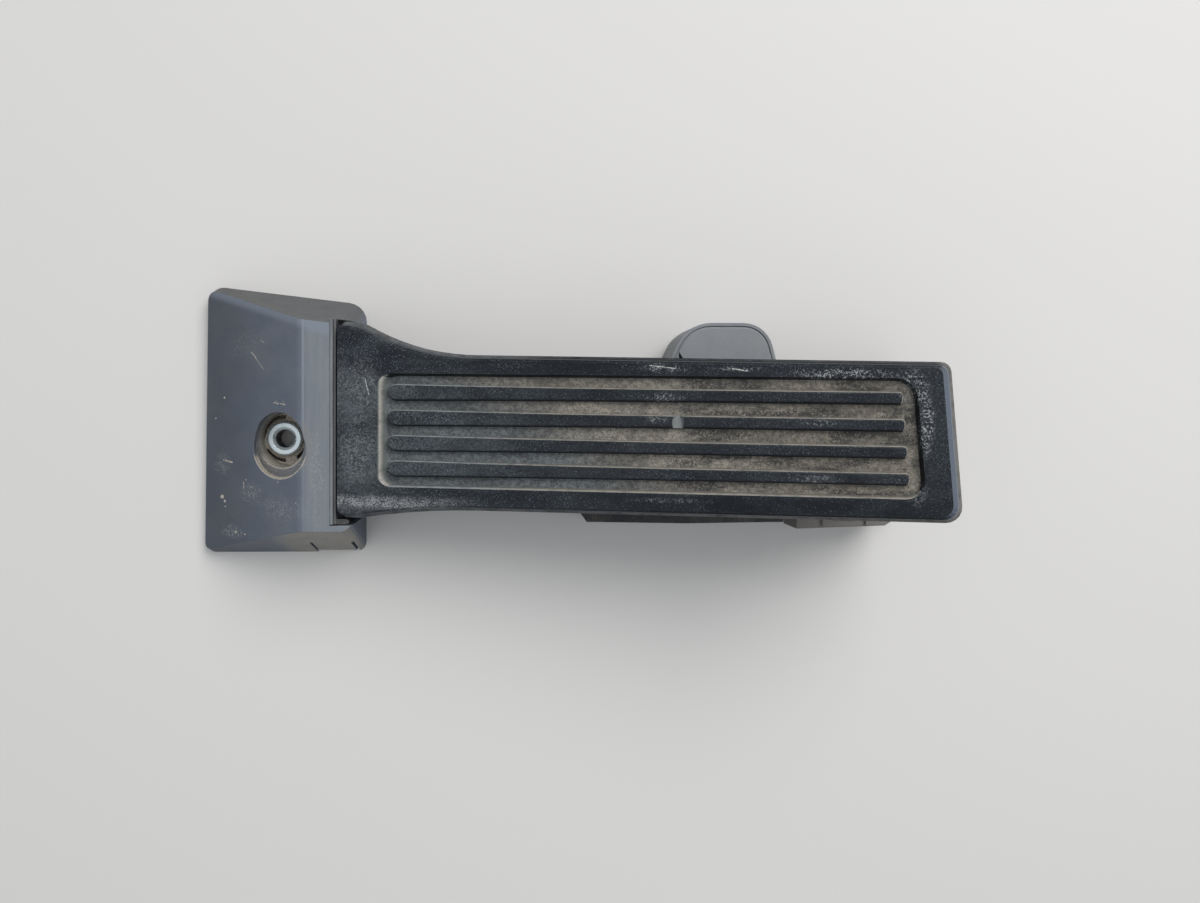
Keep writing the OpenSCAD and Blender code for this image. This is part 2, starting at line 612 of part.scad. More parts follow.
module heel_cover() {
    color([0.37, 0.41, 0.46]) union() {
        difference() {
            heel_form(0);
            difference() {
                translate([0, 0, -0.01]) heel_form(cover_wall);
                pad_notch(2);
                translate([well_shift, 0, boss_height + seat_gap])
                    cylinder(h = heel_height, r = well_radius + 1.6);
                // Solid ground under the crescent ledge
                translate([well_shift, -ledge_shift, boss_height + seat_gap])
                    cylinder(h = heel_height, r = well_radius + 2.1);
            }
            pad_notch(0);
            // Well with a crescent ledge that follows the sloping face
            translate([well_shift, 0, -cut]) cylinder(h = heel_height + 2 * cut, r = well_radius);
            intersection() {
                translate([well_shift, -ledge_shift, 0]) cylinder(h = 2 * heel_height, r = well_radius + 0.7);
                translate([crease_reach, 0, heel_height])
                    rotate([0, -atan((heel_height - heel_lip) / (crease_reach + heel_front)), 0])
                    block([-heel_front, -heel_near, -well_ledge], [heel_rear, heel_far, heel_height]);
            }
            translate([well_shift, 0, -cut])
                cylinder(h = boss_height + cut + seat_gap, r = well_radius + 1.6 + seat_gap);
            // Room for the housing floor
            block([notch_front - 2 - cut, cover_wall + 2.4 - heel_near, -cut],
                [heel_rear - cover_wall - 0.6, heel_far - cover_wall - 4.6, floor_thickness + seat_gap]);
            // Slots beside the snap latch
            for (x = [latch_reach - latch_slot, latch_reach + latch_length])
                block([x, -heel_near - cut, -cut], [x + latch_slot, -heel_near + 9, 15]);
            // Shallow step that marks the latch
            block([latch_reach, -heel_near - cut, -cut], [latch_reach + latch_length, -heel_near + 1.2, 9]);
        }
        // Hook on the latch
        block([latch_reach + 1, -heel_near + 2.2, floor_thickness + pass_gap],
            [latch_reach + latch_length - 1, -heel_near + 5.6, floor_thickness + 2]);
    }
}

module heel_sleeve() {
    color([0.78, 0.79, 0.8]) difference() {
        cylinder(h = sleeve_length, r = sleeve_radius);
        translate([0, 0, -cut]) cylinder(h = sleeve_length + 2 * cut, r = bolt_radius);
        translate([0, 0, sleeve_length - sleeve_chamfer])
            cylinder(h = 2 * sleeve_chamfer, r1 = bolt_radius, r2 = bolt_radius + 2 * sleeve_chamfer);
        translate([0, 0, sleeve_length]) rotate_extrude()
            polygon([[sleeve_radius - 0.6, 0.01], [sleeve_radius + cut, 0.01], [sleeve_radius + cut, -0.6 - cut],
                [sleeve_radius, -0.6]]);
    }
}

module hinge_strip() {
    near = notch_near + pass_gap;
    far = notch_far - pass_gap;
    low = heel_height - 4;
    color([0.2, 0.22, 0.25]) union() {
        // Raised lip beside the heel and a lower round lip beside the pad
        block([notch_front, near, low], [notch_front + strip_width / 2, far, heel_height - 0.3]);
        block([notch_front, near, low], [notch_front + strip_width, far, heel_height - 1.4]);
        rod_y(strip_width / 4, notch_front + 3 * strip_width / 4, heel_height - 1.4, near, far);
        // Foot that turns in beside the pad's near corner
        block([notch_front, near, low], [hinge_reach - 0.8, near + 1.8, heel_height - 1.2]);
        rod_z(0.9, hinge_reach - 0.8, near + 0.9, low, heel_height - 1.2);
    }
}

module hinge_pin() {
    color([0.66, 0.67, 0.68]) translate([0, pad_shift, 0]) union() {
        rod_y(hinge_pin_radius, hinge_reach, hinge_height, -hinge_start - 0.2, hinge_end + 0.6);
        rod_y(hinge_pin_radius + 1, hinge_reach, hinge_height, hinge_end + 0.2, hinge_end + 1.6);
    }
}

module pad_carrier() {
    outline = pad_outline(0, 0);
    inner = pad_outline(carrier_rim, carrier_rim);
    color([0.1, 0.11, 0.13]) on_pad() difference() {
        union() {
            difference() {
                union() {
                    plate(outline, rim_edge, tread_base - 0.6);
                    plate(pad_outline(0.45, 0.5), rim_edge, tread_base);
                }
                plate(inner, rim_edge - cut, plate_base);
                // Room for the hinge lugs of the housing
                block([heel_edge - cut, -hinge_start - 0.5, rim_edge - cut],
                    [lug_clear, hinge_end + 1.7, tread_base + cut]);
            }
            // Hinge knuckles
            for (s = knuckle_spans) {
                rod_y(knuckle_radius, 0, 0, s[0], s[1]);
                block([0, s[0], -1], [lug_clear + 2, s[1], tread_base]);
            }
            // Stiffening ribs
            for (y = [-12, 12])
                block([lug_clear, y - carrier_rib / 2, plate_base - carrier_rib_height],
                    [pad_length - 3, y + carrier_rib / 2, plate_base + cut]);
            for (x = [24 : carrier_rib_pitch : 150])
                block([x, -waist_near + cut, plate_base - carrier_rib_height],
                    [x + carrier_rib, waist_far - cut, plate_base + cut]);
        }
        rod_y(hinge_pin_radius + bore_gap, 0, 0, -hinge_start, hinge_end);
        for (p = stud_places) translate([p[0], p[1], plate_base - cut])
            cylinder(h = carrier_plate + 2 * cut, r = stud_radius + bore_gap);
    }
}

module pad_tread() {
    floor_gap = recess_depth + 0.4;
    color([0.07, 0.08, 0.09]) on_pad() union() {
        difference() {
            loft([pad_outline(tread_inset, tread_toe_inset), pad_outline(tread_inset, tread_toe_inset),
                pad_outline(tread_inset + 0.3, tread_toe_inset + 0.7),
                pad_outline(tread_inset + 1, tread_toe_inset + 2.2)],
                [tread_base + 0.02, face_height - 1.8, face_height - 0.6, face_height], [flare_length, 0]);
            loft([recess_outline(-recess_bevel, -recess_ramp), recess_outline(-0.25, -0.6), recess_outline(0, 0),
                recess_outline(0.3, 0.5)],
                [recess_floor, face_height - 0.5, face_height - 0.15, face_height + 0.3], [flare_length, 0]);
        }
        // Faint pad on the recess floor
        translate([recess_start + recess_length - 19, -recess_half + 0.9, recess_floor - 0.3])
            cube([mark_length, 2.5, 0.55]);
        difference() {
            for (i = [0 : rib_count - 1]) {
                y = (i - (rib_count - 1) / 2) * rib_pitch;
                loft([rib_outline(y, 0.45), rib_outline(y, 0.1), rib_outline(y, -0.15), rib_outline(y, -0.55)],
                    [recess_floor - 0.3, recess_floor + rib_height - 0.5, recess_floor + rib_height - 0.15,
                    recess_floor + rib_height], [flare_length, y]);
            }
            // Small pocket in the second rib
            translate([recess_start + 100, rib_pitch / 2 + 0.4, recess_floor + rib_height - 1.1])
                cylinder(h = floor_gap, r = 1.8, $fn = 20);
            block([recess_start + 98.2, rib_pitch / 2 - 4, recess_floor + rib_height - 1.1],
                [recess_start + 101.8, rib_pitch / 2 + 0.4, face_height + cut]);
        }
        // Studs snapped through the carrier plate
        for (p = stud_places) {
            translate([p[0], p[1], plate_base - 0.2]) cylinder(h = carrier_plate + 0.4, r = stud_radius, $fn = 20);
            translate([p[0], p[1], plate_base - 1.6])
                cylinder(h = 1.5, r1 = stud_radius - 0.6, r2 = stud_radius + 0.9, $fn = 20);
        }
    }
}

module track_plate() {
    arc_depth = nose_drop + slider_radius + pass_gap;
    color([0.75, 0.74, 0.7]) on_pad() difference() {
        block([track_middle - 17, -7.6, track_face], [track_middle + 15, 7.6, plate_base]);
        // Dished running face that the slider follows
        rod_y(track_radius, track_middle, arc_depth - track_radius + 0.55, -8.6, 8.6);
    }
}

module pedal_arm() {
    tip = [crank_length * sin(crank_lean), -crank_length * cos(crank_lean)];
    bar = [[0, -hub_radius + 0.4], [arm_length - 6, -nose_radius], [arm_length, -nose_radius],
        [arm_length, nose_radius], [arm_length - 6, nose_radius], [0, hub_radius - 0.4]];
    pocket = inset([[6.5, -hub_radius + 0.75], [arm_length - 8, -nose_radius], [arm_length - 8, nose_radius],
        [6.5, hub_radius - 0.75]], arm_flange);
    color([0.13, 0.14, 0.15]) difference() {
        union() {
            on_arm() difference() {
                union() {
                    translate([0, arm_width / 2, 0]) rotate([90, 0, 0]) linear_extrude(arm_width) polygon(bar);
                    rod_y(nose_radius, arm_length, 0, -arm_width / 2, arm_width / 2);
                }
                // Pockets on both sides leave a web with flanges and one cross rib
                difference() {
                    union() {
                        translate([0, -arm_web / 2, 0]) rotate([90, 0, 0]) linear_extrude(arm_width)
                            polygon(pocket);
                        translate([0, arm_width + arm_web / 2, 0]) rotate([90, 0, 0]) linear_extrude(arm_width)
                            polygon(pocket);
                    }
                    block([arm_length * 0.52, -arm_width, -hub_radius],
                        [arm_length * 0.52 + arm_flange, arm_width, hub_radius]);
                }
            }
            // Hub across the chamber
            rod_y(hub_radius, arm_reach, arm_height, pad_shift - chamber_half + pass_gap,
                pad_shift + chamber_half - pass_gap);
            // Crank that pushes the friction shoe
            translate([arm_reach, pad_shift, arm_height]) rotate([0, -crank_lean, 0])
                block([-1.9, -arm_width / 2 + 1, -crank_length], [1.9, arm_width / 2 - 1, -hub_radius / 2]);
            rod_y(crank_tip, arm_reach + tip[0], arm_height + tip[1], pad_shift - arm_width / 2 + 1,
                pad_shift + arm_width / 2 - 1);
        }
        rod_y(shaft_radius + bore_gap / 2, arm_reach, arm_height, pad_shift - chamber_half - cut,
            pad_shift + chamber_half + cut);
    }
}

module arm_shaft() {
    color([0.7, 0.71, 0.72]) difference() {
        union() {
            rod_y(shaft_radius, arm_reach, arm_height, pad_shift - bearing_outer - 2.6,
                pad_shift + bearing_outer + 0.6);
            rod_y(2, arm_reach, arm_height, pad_shift + bearing_outer, rotor_start + 3);
        }
        difference() {
            rod_y(shaft_radius + cut, arm_reach, arm_height, clip_y - 1.2, clip_y);
            rod_y(shaft_radius - 0.5, arm_reach, arm_height, clip_y - 2, clip_y + cut);
        }
    }
}

module shaft_clip() {
    color([0.35, 0.35, 0.36]) difference() {
        rod_y(shaft_radius + 1.6, arm_reach, arm_height, clip_y - 1.1, clip_y - 0.1);
        rod_y(shaft_radius - 0.45, arm_reach, arm_height, clip_y - 2, clip_y + cut);
        block([arm_reach, clip_y - 2, arm_height - 1.8], [arm_reach + 8, clip_y + cut, arm_height + 1.8]);
    }
}

module arm_slider() {
    color([0.8, 0.79, 0.74]) on_arm() difference() {
        rod_y(slider_radius, arm_length, 0, -arm_width / 2 - 0.8, arm_width / 2 + 0.8);
        rod_y(nose_radius + bore_gap / 2, arm_length, 0, -arm_width / 2 - bore_gap, arm_width / 2 + bore_gap);
        // Throat where the arm enters
        block([arm_length - 8, -arm_width / 2 - bore_gap, -nose_radius - bore_gap],
            [arm_length, arm_width / 2 + bore_gap, nose_radius + bore_gap]);
    }
}

module magnet_rotor() {
    color([0.85, 0.84, 0.8]) difference() {
        rod_y(rotor_radius, arm_reach, arm_height, rotor_start, rotor_start + rotor_length);
        rod_y(2 + bore_gap / 2, arm_reach, arm_height, rotor_start - cut, rotor_start + 3.1);
        rod_y(magnet_radius + bore_gap / 2, arm_reach, arm_height, rotor_start + 3.5,
            rotor_start + rotor_length + cut);
    }
}

module rotor_magnet() {
    color([0.3, 0.3, 0.31])
        rod_y(magnet_radius, arm_reach, arm_height, rotor_start + 3.5, rotor_start + rotor_length);
}

module friction_shoe() {
    half = chamber_half - pass_gap;
    toe_top = arm_height - hub_radius - pass_gap - 0.1;
    low = floor_thickness + pass_gap;
    color([0.2, 0.21, 0.22]) union() {
        difference() {
            union() {
                block([shoe_seat, pad_shift - half, low], [hub_front, pad_shift + half, chamber_height - 0.4]);
                // Toe that reaches under the hub to the crank
                block([hub_front - cut, pad_shift - arm_width / 2, low],
                    [shoe_face, pad_shift + arm_width / 2, toe_top]);
            }
            // Recesses for the linings
            for (s = [-1, 1])
                block([shoe_seat + 1.5, pad_shift + s * half - lining_thickness - 0.02, low + 2],
                    [hub_front - 1.5, pad_shift + s * half + lining_thickness + 0.02, chamber_height - 2.4]);
        }
        // Spigot inside the small spring
        rod_x(small_core, pad_shift, spring_height, shoe_seat - 6, shoe_seat + cut);
    }
}

module friction_linings() {
    half = chamber_half - pass_gap;
    low = floor_thickness + pass_gap;
    color([0.5, 0.42, 0.3]) for (s = [-1, 1])
        translate([0, s * lining_thickness / 2, 0])
            block([shoe_seat + 1.5 + bore_gap, pad_shift + s * (half - lining_thickness) - lining_thickness / 2,
                low + 2 + bore_gap],
                [hub_front - 1.5 - bore_gap, pad_shift + s * (half - lining_thickness) + lining_thickness / 2,
                chamber_height - 2.4 - bore_gap]);
}

module return_spring_large() {
    color([0.6, 0.61, 0.62]) translate([retainer_face, pad_shift, spring_height])
        coil(large_spring_radius, large_wire, large_turns, spring_length, 14);
}

module return_spring_small() {
    color([0.6, 0.61, 0.62]) translate([retainer_face, pad_shift, spring_height])
        coil(small_spring_radius, small_wire, small_turns, spring_length, 12);
}

module spring_retainer() {
    half = chamber_half + 1.6 - seat_gap;
    color([0.3, 0.32, 0.35]) union() {
        block([retainer_back, pad_shift - half, floor_thickness], [retainer_face, pad_shift + half,
            chamber_height - 0.2]);
        rod_x(small_core, pad_shift, spring_height, retainer_face - cut, retainer_face + 6);
    }
}

// Plain bush in one bearing block
module bush(start) {
    difference() {
        rod_y(bush_radius, arm_reach, arm_height, start, start + 5.5);
        rod_y(shaft_radius + bore_gap, arm_reach, arm_height, start - cut, start + 5.5 + cut);
    }
}

module bearing_bush_near() {
    color([0.72, 0.55, 0.3]) bush(pad_shift - bearing_outer);
}

module bearing_bush_far() {
    color([0.72, 0.55, 0.3]) bush(pad_shift + chamber_half);
}

module mechanism_cover() {
    color([0.3, 0.32, 0.35]) difference() {
        union() {
            block([chamber_front, pad_shift - chamber_outer, chamber_height],
                [cover_rear, pad_shift + chamber_outer, chamber_height + cover_plate]);
            // Stiffening ribs on top
            for (y = [-5, 0, 5])
                block([chamber_front + 7, pad_shift + y - 0.6, chamber_height],
                    [cover_rear - 8, pad_shift + y + 0.6, chamber_height + cover_plate + 0.7]);
            // Locating lip inside the chamber's front end
            block([chamber_front + wall + seat_gap, pad_shift - chamber_half + seat_gap, chamber_height - 1.6],
                [retainer_back - 0.6, pad_shift + chamber_half - seat_gap, chamber_height + cut]);
        }
        for (p = cover_screw_places) translate([p[0], p[1], chamber_height - cut])
            cylinder(h = cover_plate + 2 * cut, r = 1.6);
    }
}

module cover_screws() {
    seat = chamber_height + cover_plate;
    color([0.62, 0.63, 0.64]) for (p = cover_screw_places) translate([p[0], p[1], 0]) difference() {
        rotate_extrude() polygon([[0, chamber_height - 6.8], [1.25, chamber_height - 6], [1.25, seat], [2.3, seat],
            [2.3, seat + 0.7], [1.9, seat + 1], [0, seat + 1]]);
        translate([0, 0, seat + 0.2]) cylinder(h = cut, r = 1.1, $fn = 6);
    }
}

module bump_stop() {
    full_press = rest_angle - pad_travel;
    top = hinge_height + (bump_x - hinge_reach) * sin(full_press) + rim_edge - pass_gap;
    color([0.12, 0.12, 0.13]) union() {
        translate([bump_x, pad_shift, 0]) rotate_extrude()
            polygon([[0, wall_height], [bump_radius, wall_height], [bump_radius, top - 5], [bump_radius - 0.8, top - 4],
                [bump_radius, top - 3], [bump_radius, top - 1], [bump_radius - 1, top], [0, top]]);
        rod_z(2.4, bump_x, pad_shift, wall_height - 4.6, wall_height + 0.4);
    }
}

module sensor_board() {
    color([0.1, 0.35, 0.2]) difference() {
        block([arm_reach - 15, board_face, floor_thickness + 0.6], [arm_reach + 14, board_face + board_thickness,
            pod_height - lid_thickness - 0.9]);
        for (x = [-12, 11]) rod_y(1.2, arm_reach + x, 7, board_face - cut, board_face + board_thickness + cut);
    }
}

module sensor_chip() {
    color([0.08, 0.08, 0.09]) block([arm_reach - 2.5, chip_face, arm_height - 3], [arm_reach + 2.5, board_face,
        arm_height + 2.6]);
}

module sensor_lid() {
    low = pod_height - lid_thickness - pass_gap;
    color([0.41, 0.44, 0.47]) difference() {
        union() {
            plate(pod_outline(pod_rim + seat_gap), low, low + lid_thickness);
            plate(pod_outline(pod_rim + 0.6), low, pod_height);
        }
        // Pry notch beside the pad
        translate([arm_reach - 17, pod_reach - 11.1, low - cut])
            linear_extrude(lid_thickness + 2 * cut) polygon([[0, 0], [-0.3, -5.4], [3.6, -5.4]]);
    }
}

module connector_shell() {
    x1 = plug_start;
    x2 = plug_start + plug_length;
    back = bay_depth - 0.4;
    mouth = -plug_reach;
    low = floor_thickness;
    color([0.42, 0.44, 0.46]) difference() {
        union() {
            plate([[x1, mouth], [x2 - 2.8, mouth + 1.2], [x2, mouth + 2.9], [x2, back], [x1, back]], low, plug_top);
            // Latch nose with a guide rib on each side
            for (x = [x1 + plug_length / 2 - 9, x1 + plug_length / 2 + 7.8])
                block([x, mouth + 1.6, plug_top - cut], [x + plug_rib, back - 1, plug_top + plug_rib]);
            translate([x1 + plug_length / 2 - 4, 0, plug_top]) rotate([90, 0, 90]) linear_extrude(8)
                polygon([[mouth + 3, -cut], [mouth + 3, 0.2], [mouth + 6, 1.6], [mouth + 6.6, 1.6], [mouth + 6.6, -cut]]);
        }
        block([x1 + plug_wall, mouth - cut, low + plug_wall], [x2 - plug_wall - 1.2, mouth + plug_depth,
            plug_top - plug_wall]);
        for (i = [0 : terminal_count - 1]) translate([terminal_x(i), 0, (low + plug_top) / 2])
            block([-terminal_width / 2 - 0.03, mouth, -0.43], [terminal_width / 2 + 0.03, back + cut, 0.43]);
    }
}

function terminal_x(i) = plug_start + plug_length / 2 + (i - (terminal_count - 1) / 2) * 4.4;

module connector_terminals() {
    color([0.75, 0.62, 0.3]) for (i = [0 : terminal_count - 1])
        translate([terminal_x(i), 0, (floor_thickness + plug_top) / 2])
            block([-terminal_width / 2, 5 - plug_reach, -0.4], [terminal_width / 2, bay_depth - 0.2, 0.4]);
}

base_housing();
heel_cover();
heel_sleeve();
hinge_strip();
hinge_pin();
pad_carrier();
pad_tread();
track_plate();
pedal_arm();
arm_shaft();
arm_slider();
shaft_clip();
magnet_rotor();
rotor_magnet();
friction_shoe();
friction_linings();
return_spring_large();
return_spring_small();
spring_retainer();
bearing_bush_near();
bearing_bush_far();
mechanism_cover();
cover_screws();
bump_stop();
sensor_board();
sensor_chip();
sensor_lid();
connector_shell();
connector_terminals();
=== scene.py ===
import json
import math
import bpy
import bmesh
from mathutils import Matrix, Vector


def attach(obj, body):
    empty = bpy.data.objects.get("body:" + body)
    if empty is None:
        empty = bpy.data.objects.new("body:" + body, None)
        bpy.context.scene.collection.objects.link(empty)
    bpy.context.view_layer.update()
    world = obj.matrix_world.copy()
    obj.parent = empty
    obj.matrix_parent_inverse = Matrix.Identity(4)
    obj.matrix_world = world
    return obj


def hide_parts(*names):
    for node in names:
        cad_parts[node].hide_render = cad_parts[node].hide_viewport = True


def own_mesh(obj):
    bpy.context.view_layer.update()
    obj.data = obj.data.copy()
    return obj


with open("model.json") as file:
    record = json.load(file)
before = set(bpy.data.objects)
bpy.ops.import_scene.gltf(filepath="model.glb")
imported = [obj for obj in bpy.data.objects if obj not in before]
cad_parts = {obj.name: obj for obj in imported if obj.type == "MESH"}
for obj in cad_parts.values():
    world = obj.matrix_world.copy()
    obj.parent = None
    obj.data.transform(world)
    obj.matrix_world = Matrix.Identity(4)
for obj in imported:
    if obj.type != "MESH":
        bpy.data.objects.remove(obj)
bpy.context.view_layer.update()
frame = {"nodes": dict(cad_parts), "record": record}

# Places and sizes of the pedal's construction in metres, its rest angle in radians, slopes as ratios
hinge = Vector((0.0263, 0.0041, 0.0236))
rest_angle = math.radians(12)
recess_floor = 0.0066
recess_start = 0.0126
recess_end = 0.1886
recess_half = 0.0189
rib_pocket = (0.1126, 0.0046, 0)
carrier_toe_lip = 0.214
carrier_near_lip = -0.0208
well_middle = (0.0022, 0, 0)
well_radius = 0.0096
ledge_middle = (0.0022, -0.0028, 0)
ledge_radius = 0.0103
well_and_ledge = (0.0022, -0.0014, 0)
heel_slope = 0.698
heel_end = 0.0360
crease = 0.0116
ridge_start = 0.0442
ridge_slope = 0.332
near_flank = -0.0286
strip_step = 0.02135
pod_side = 0.0303
pod_start = 0.1285

# Half the side of the floor under the pedal, in metres
floor_half = 3.0

# The camera's place, the directions of its right side and back, and its lens on a 36 mm sensor
camera_place = Vector((0.08098, 0.01112, 0.33095))
camera_right = Vector((0.9947, 0.0141, 0.1022))
camera_back = Vector((-0.1028, 0.0453, 0.9937))
camera_lens = 26.0


# Camera and light
def place_camera():
    """Camera at the photograph's viewing angle, fitted to the long straight edges of the pad."""
    data = bpy.data.cameras.new("photo_camera")
    data.lens = camera_lens
    data.sensor_width = 36.0
    data.clip_start = 0.01
    cam = bpy.data.objects.new("photo_camera", data)
    bpy.context.scene.collection.objects.link(cam)
    right = camera_right.normalized()
    back = camera_back.normalized()
    up = back.cross(right).normalized()
    right = up.cross(back)
    turn = Matrix((right, up, back)).transposed().to_4x4()
    cam.matrix_world = Matrix.Translation(camera_place) @ turn
    bpy.context.scene.camera = cam


def soft_lamp(name, place, target, size, power, tint):
    """Round soft lamp that points at target."""
    data = bpy.data.lights.new(name, "AREA")
    data.shape = "DISK"
    data.size = size
    data.energy = power
    data.color = tint
    lamp = bpy.data.objects.new(name, data)
    bpy.context.scene.collection.objects.link(lamp)
    lamp.location = place
    lamp.rotation_euler = (Vector(target) - Vector(place)).to_track_quat("-Z", "Y").to_euler()


def light_room():
    """Soft light from the far right, a weak fill from the near left, and an overcast sky."""
    middle = (0.10, 0.0, 0.03)
    soft_lamp("sky_lamp", (0.62, 0.85, 1.05), middle, 1.1, 17.5, (1.0, 0.99, 0.97))
    soft_lamp("fill_lamp", (-0.9, -0.5, 1.1), middle, 1.6, 1.5, (0.95, 0.97, 1.0))
    world = bpy.data.worlds.new("overcast")
    bpy.context.scene.world = world
    world.use_nodes = True
    background = world.node_tree.nodes["Background"]
    background.inputs["Color"].default_value = (0.93, 0.96, 1.0, 1)
    # Overcast sky: brighter overhead than at the horizon
    direction = world.node_tree.nodes.new("ShaderNodeTexCoord").outputs["Generated"]
    sky = ramp(world.node_tree, parts(world.node_tree, direction)[2], 0.0, 1.0, 0.24, 0.72)
    world.node_tree.links.new(sky, background.inputs["Strength"])
    bpy.context.scene.view_settings.view_transform = "Standard"


# Shader helpers
def put(tree, kind, inputs=None, **settings):
    """Adds a node with its settings, and with each input either linked or set."""
    made = tree.nodes.new(kind)
    for name, value in settings.items():
        setattr(made, name, value)
    for name, value in (inputs or {}).items():
        if isinstance(value, bpy.types.NodeSocket):
            tree.links.new(value, made.inputs[name])
        else:
            made.inputs[name].default_value = value
    return made


def maths(tree, operation, a, b=0.5, clamp=False):
    """One sum on two values, held between 0 and 1 where clamp is set."""
    return put(tree, "ShaderNodeMath", {0: a, 1: b}, operation=operation, use_clamp=clamp).outputs[0]


def product(tree, first, *others):
    """All the values multiplied."""
    for other in others:
        first = maths(tree, "MULTIPLY", first, other)
    return first


def vector_maths(tree, operation, a, b=(0, 0, 0)):
    """One sum on two vectors, which gives a number for a length or a dot product."""
    made = put(tree, "ShaderNodeVectorMath", {0: a, 1: b}, operation=operation)
    return made.outputs["Value" if operation in ("LENGTH", "DOT_PRODUCT") else "Vector"]


def ramp(tree, value, low, high, bottom=0.0, top=1.0):
    """Smooth step from bottom at low to top at high."""
    made = put(tree, "ShaderNodeMapRange", {"Value": value, "From Min": low, "From Max": high,
               "To Min": bottom, "To Max": top}, interpolation_type="SMOOTHSTEP")
    return made.outputs["Result"]


def mix_colour(tree, share, a, b):
    """Colour a where share is 0, and colour b where it is 1."""
    made = put(tree, "ShaderNodeMix", {0: share, 6: a, 7: b}, data_type="RGBA")
    return made.outputs[2]


def noise(tree, vector, scale, detail=4.0, roughness=0.55):
    """Cloudy value round 0.5."""
    made = put(tree, "ShaderNodeTexNoise", {"Vector": vector, "Scale": scale, "Detail": detail,
               "Roughness": roughness})
    return made.outputs[0]


def parts(tree, vector):
    """The x, y and z of a vector."""
    return put(tree, "ShaderNodeSeparateXYZ", {0: vector}).outputs


def from_above(tree, vector):
    """The vector without its height."""
    return vector_maths(tree, "MULTIPLY", vector, (1, 1, 0))


def flat_distance(tree, place, middle):
    """Distance from a point, seen from above."""
    return vector_maths(tree, "LENGTH", from_above(tree, vector_maths(tree, "SUBTRACT", place, middle)))


def apart(tree, value, middle):
    """How far a value lies from a middle value, on either side."""
    return maths(tree, "ABSOLUTE", maths(tree, "SUBTRACT", value, middle))


def product_colour(tree, colour, factor):
    """Colour made brighter or darker by a factor."""
    return vector_maths(tree, "MULTIPLY", colour, (factor, factor, factor))


def stretch(tree, vector, scale):
    """Pattern coordinates with a scale of their own along each axis."""
    return put(tree, "ShaderNodeMapping", {"Vector": vector, "Scale": scale}).outputs[0]


def new_group(name, inputs, outputs):
    """Starts a shader node group with named sockets and returns it with its in and out nodes."""
    tree = bpy.data.node_groups.new(name, "ShaderNodeTree")
    for label, kind, value in inputs:
        socket = tree.interface.new_socket(label, in_out="INPUT", socket_type=kind)
        if value is not None:
            socket.default_value = value
    for label, kind in outputs:
        tree.interface.new_socket(label, in_out="OUTPUT", socket_type=kind)
    return tree, tree.nodes.new("NodeGroupInput").outputs, tree.nodes.new("NodeGroupOutput").inputs


def fill_group(tree, group, inputs):
    """Places a shared effect in a material, with that material's own values."""
    return put(tree, "ShaderNodeGroup", inputs, node_tree=group)


FLOAT, VECTOR = "NodeSocketFloat", "NodeSocketVector"


# Effects shared by the materials
def make_edge_wear():
    """Mask that is high along outer edges, broken up by noise."""
    tree, start, end = new_group("edge_wear", [("Vector", VECTOR, None), ("Radius", FLOAT, 0.0005),
                                 ("Scale", FLOAT, 300.0), ("Amount", FLOAT, 0.6)], [("Mask", FLOAT)])
    rounded = put(tree, "ShaderNodeBevel", {"Radius": start["Radius"]}, samples=6)
    real = tree.nodes.new("ShaderNodeNewGeometry")
    bend = vector_maths(tree, "DOT_PRODUCT", rounded.outputs[0], real.outputs["True Normal"])
    edge = ramp(tree, bend, 0.985, 0.86)
    breakup = ramp(tree, noise(tree, start["Vector"], start["Scale"], 6.0, 0.65), 0.33, 0.62)
    tree.links.new(maths(tree, "MULTIPLY", product(tree, edge, breakup), start["Amount"], True), end["Mask"])
    return tree


def make_grain():
    """Fine moulded grain: a height for bump and a tone for slight mottling."""
    tree, start, end = new_group("moulded_grain", [("Vector", VECTOR, None), ("Scale", FLOAT, 1800.0)],
                                 [("Height", FLOAT), ("Tone", FLOAT)])
    cells = put(tree, "ShaderNodeTexVoronoi", {"Vector": start["Vector"], "Scale": start["Scale"]})
    broad = noise(tree, start["Vector"], maths(tree, "MULTIPLY", start["Scale"], 0.04), 6.0, 0.6)
    fine = noise(tree, start["Vector"], maths(tree, "MULTIPLY", start["Scale"], 0.7), 2.0)
    tree.links.new(maths(tree, "ADD", product(tree, cells.outputs["Distance"], 0.5), fine), end["Height"])
    tree.links.new(maths(tree, "ADD", product(tree, broad, 0.6), product(tree, fine, 0.4)), end["Tone"])
    return tree


def make_dust():
    """Dust that lies on upward faces and gathers where the surface is closed in."""
    tree, start, end = new_group("settled_dust", [("Vector", VECTOR, None), ("Facing", VECTOR, None),
                                 ("Amount", FLOAT, 0.3), ("Scale", FLOAT, 60.0), ("Reach", FLOAT, 0.004)],
                                 [("Mask", FLOAT)])
    upward = ramp(tree, parts(tree, start["Facing"])[2], 0.15, 0.9)
    hollow = put(tree, "ShaderNodeAmbientOcclusion", {"Distance": start["Reach"]}, samples=6)
    closed = ramp(tree, hollow.outputs["AO"], 0.95, 0.45)
    cloud = ramp(tree, noise(tree, start["Vector"], start["Scale"], 8.0, 0.62), 0.38, 0.68)
    speck = ramp(tree, noise(tree, start["Vector"], 1500.0, 2.0), 0.45, 0.62, 0.5, 1.05)
    body = product(tree, maths(tree, "ADD", product(tree, closed, 0.9), cloud), upward, speck)
    tree.links.new(maths(tree, "MULTIPLY", body, start["Amount"], True), end["Mask"])
    return tree


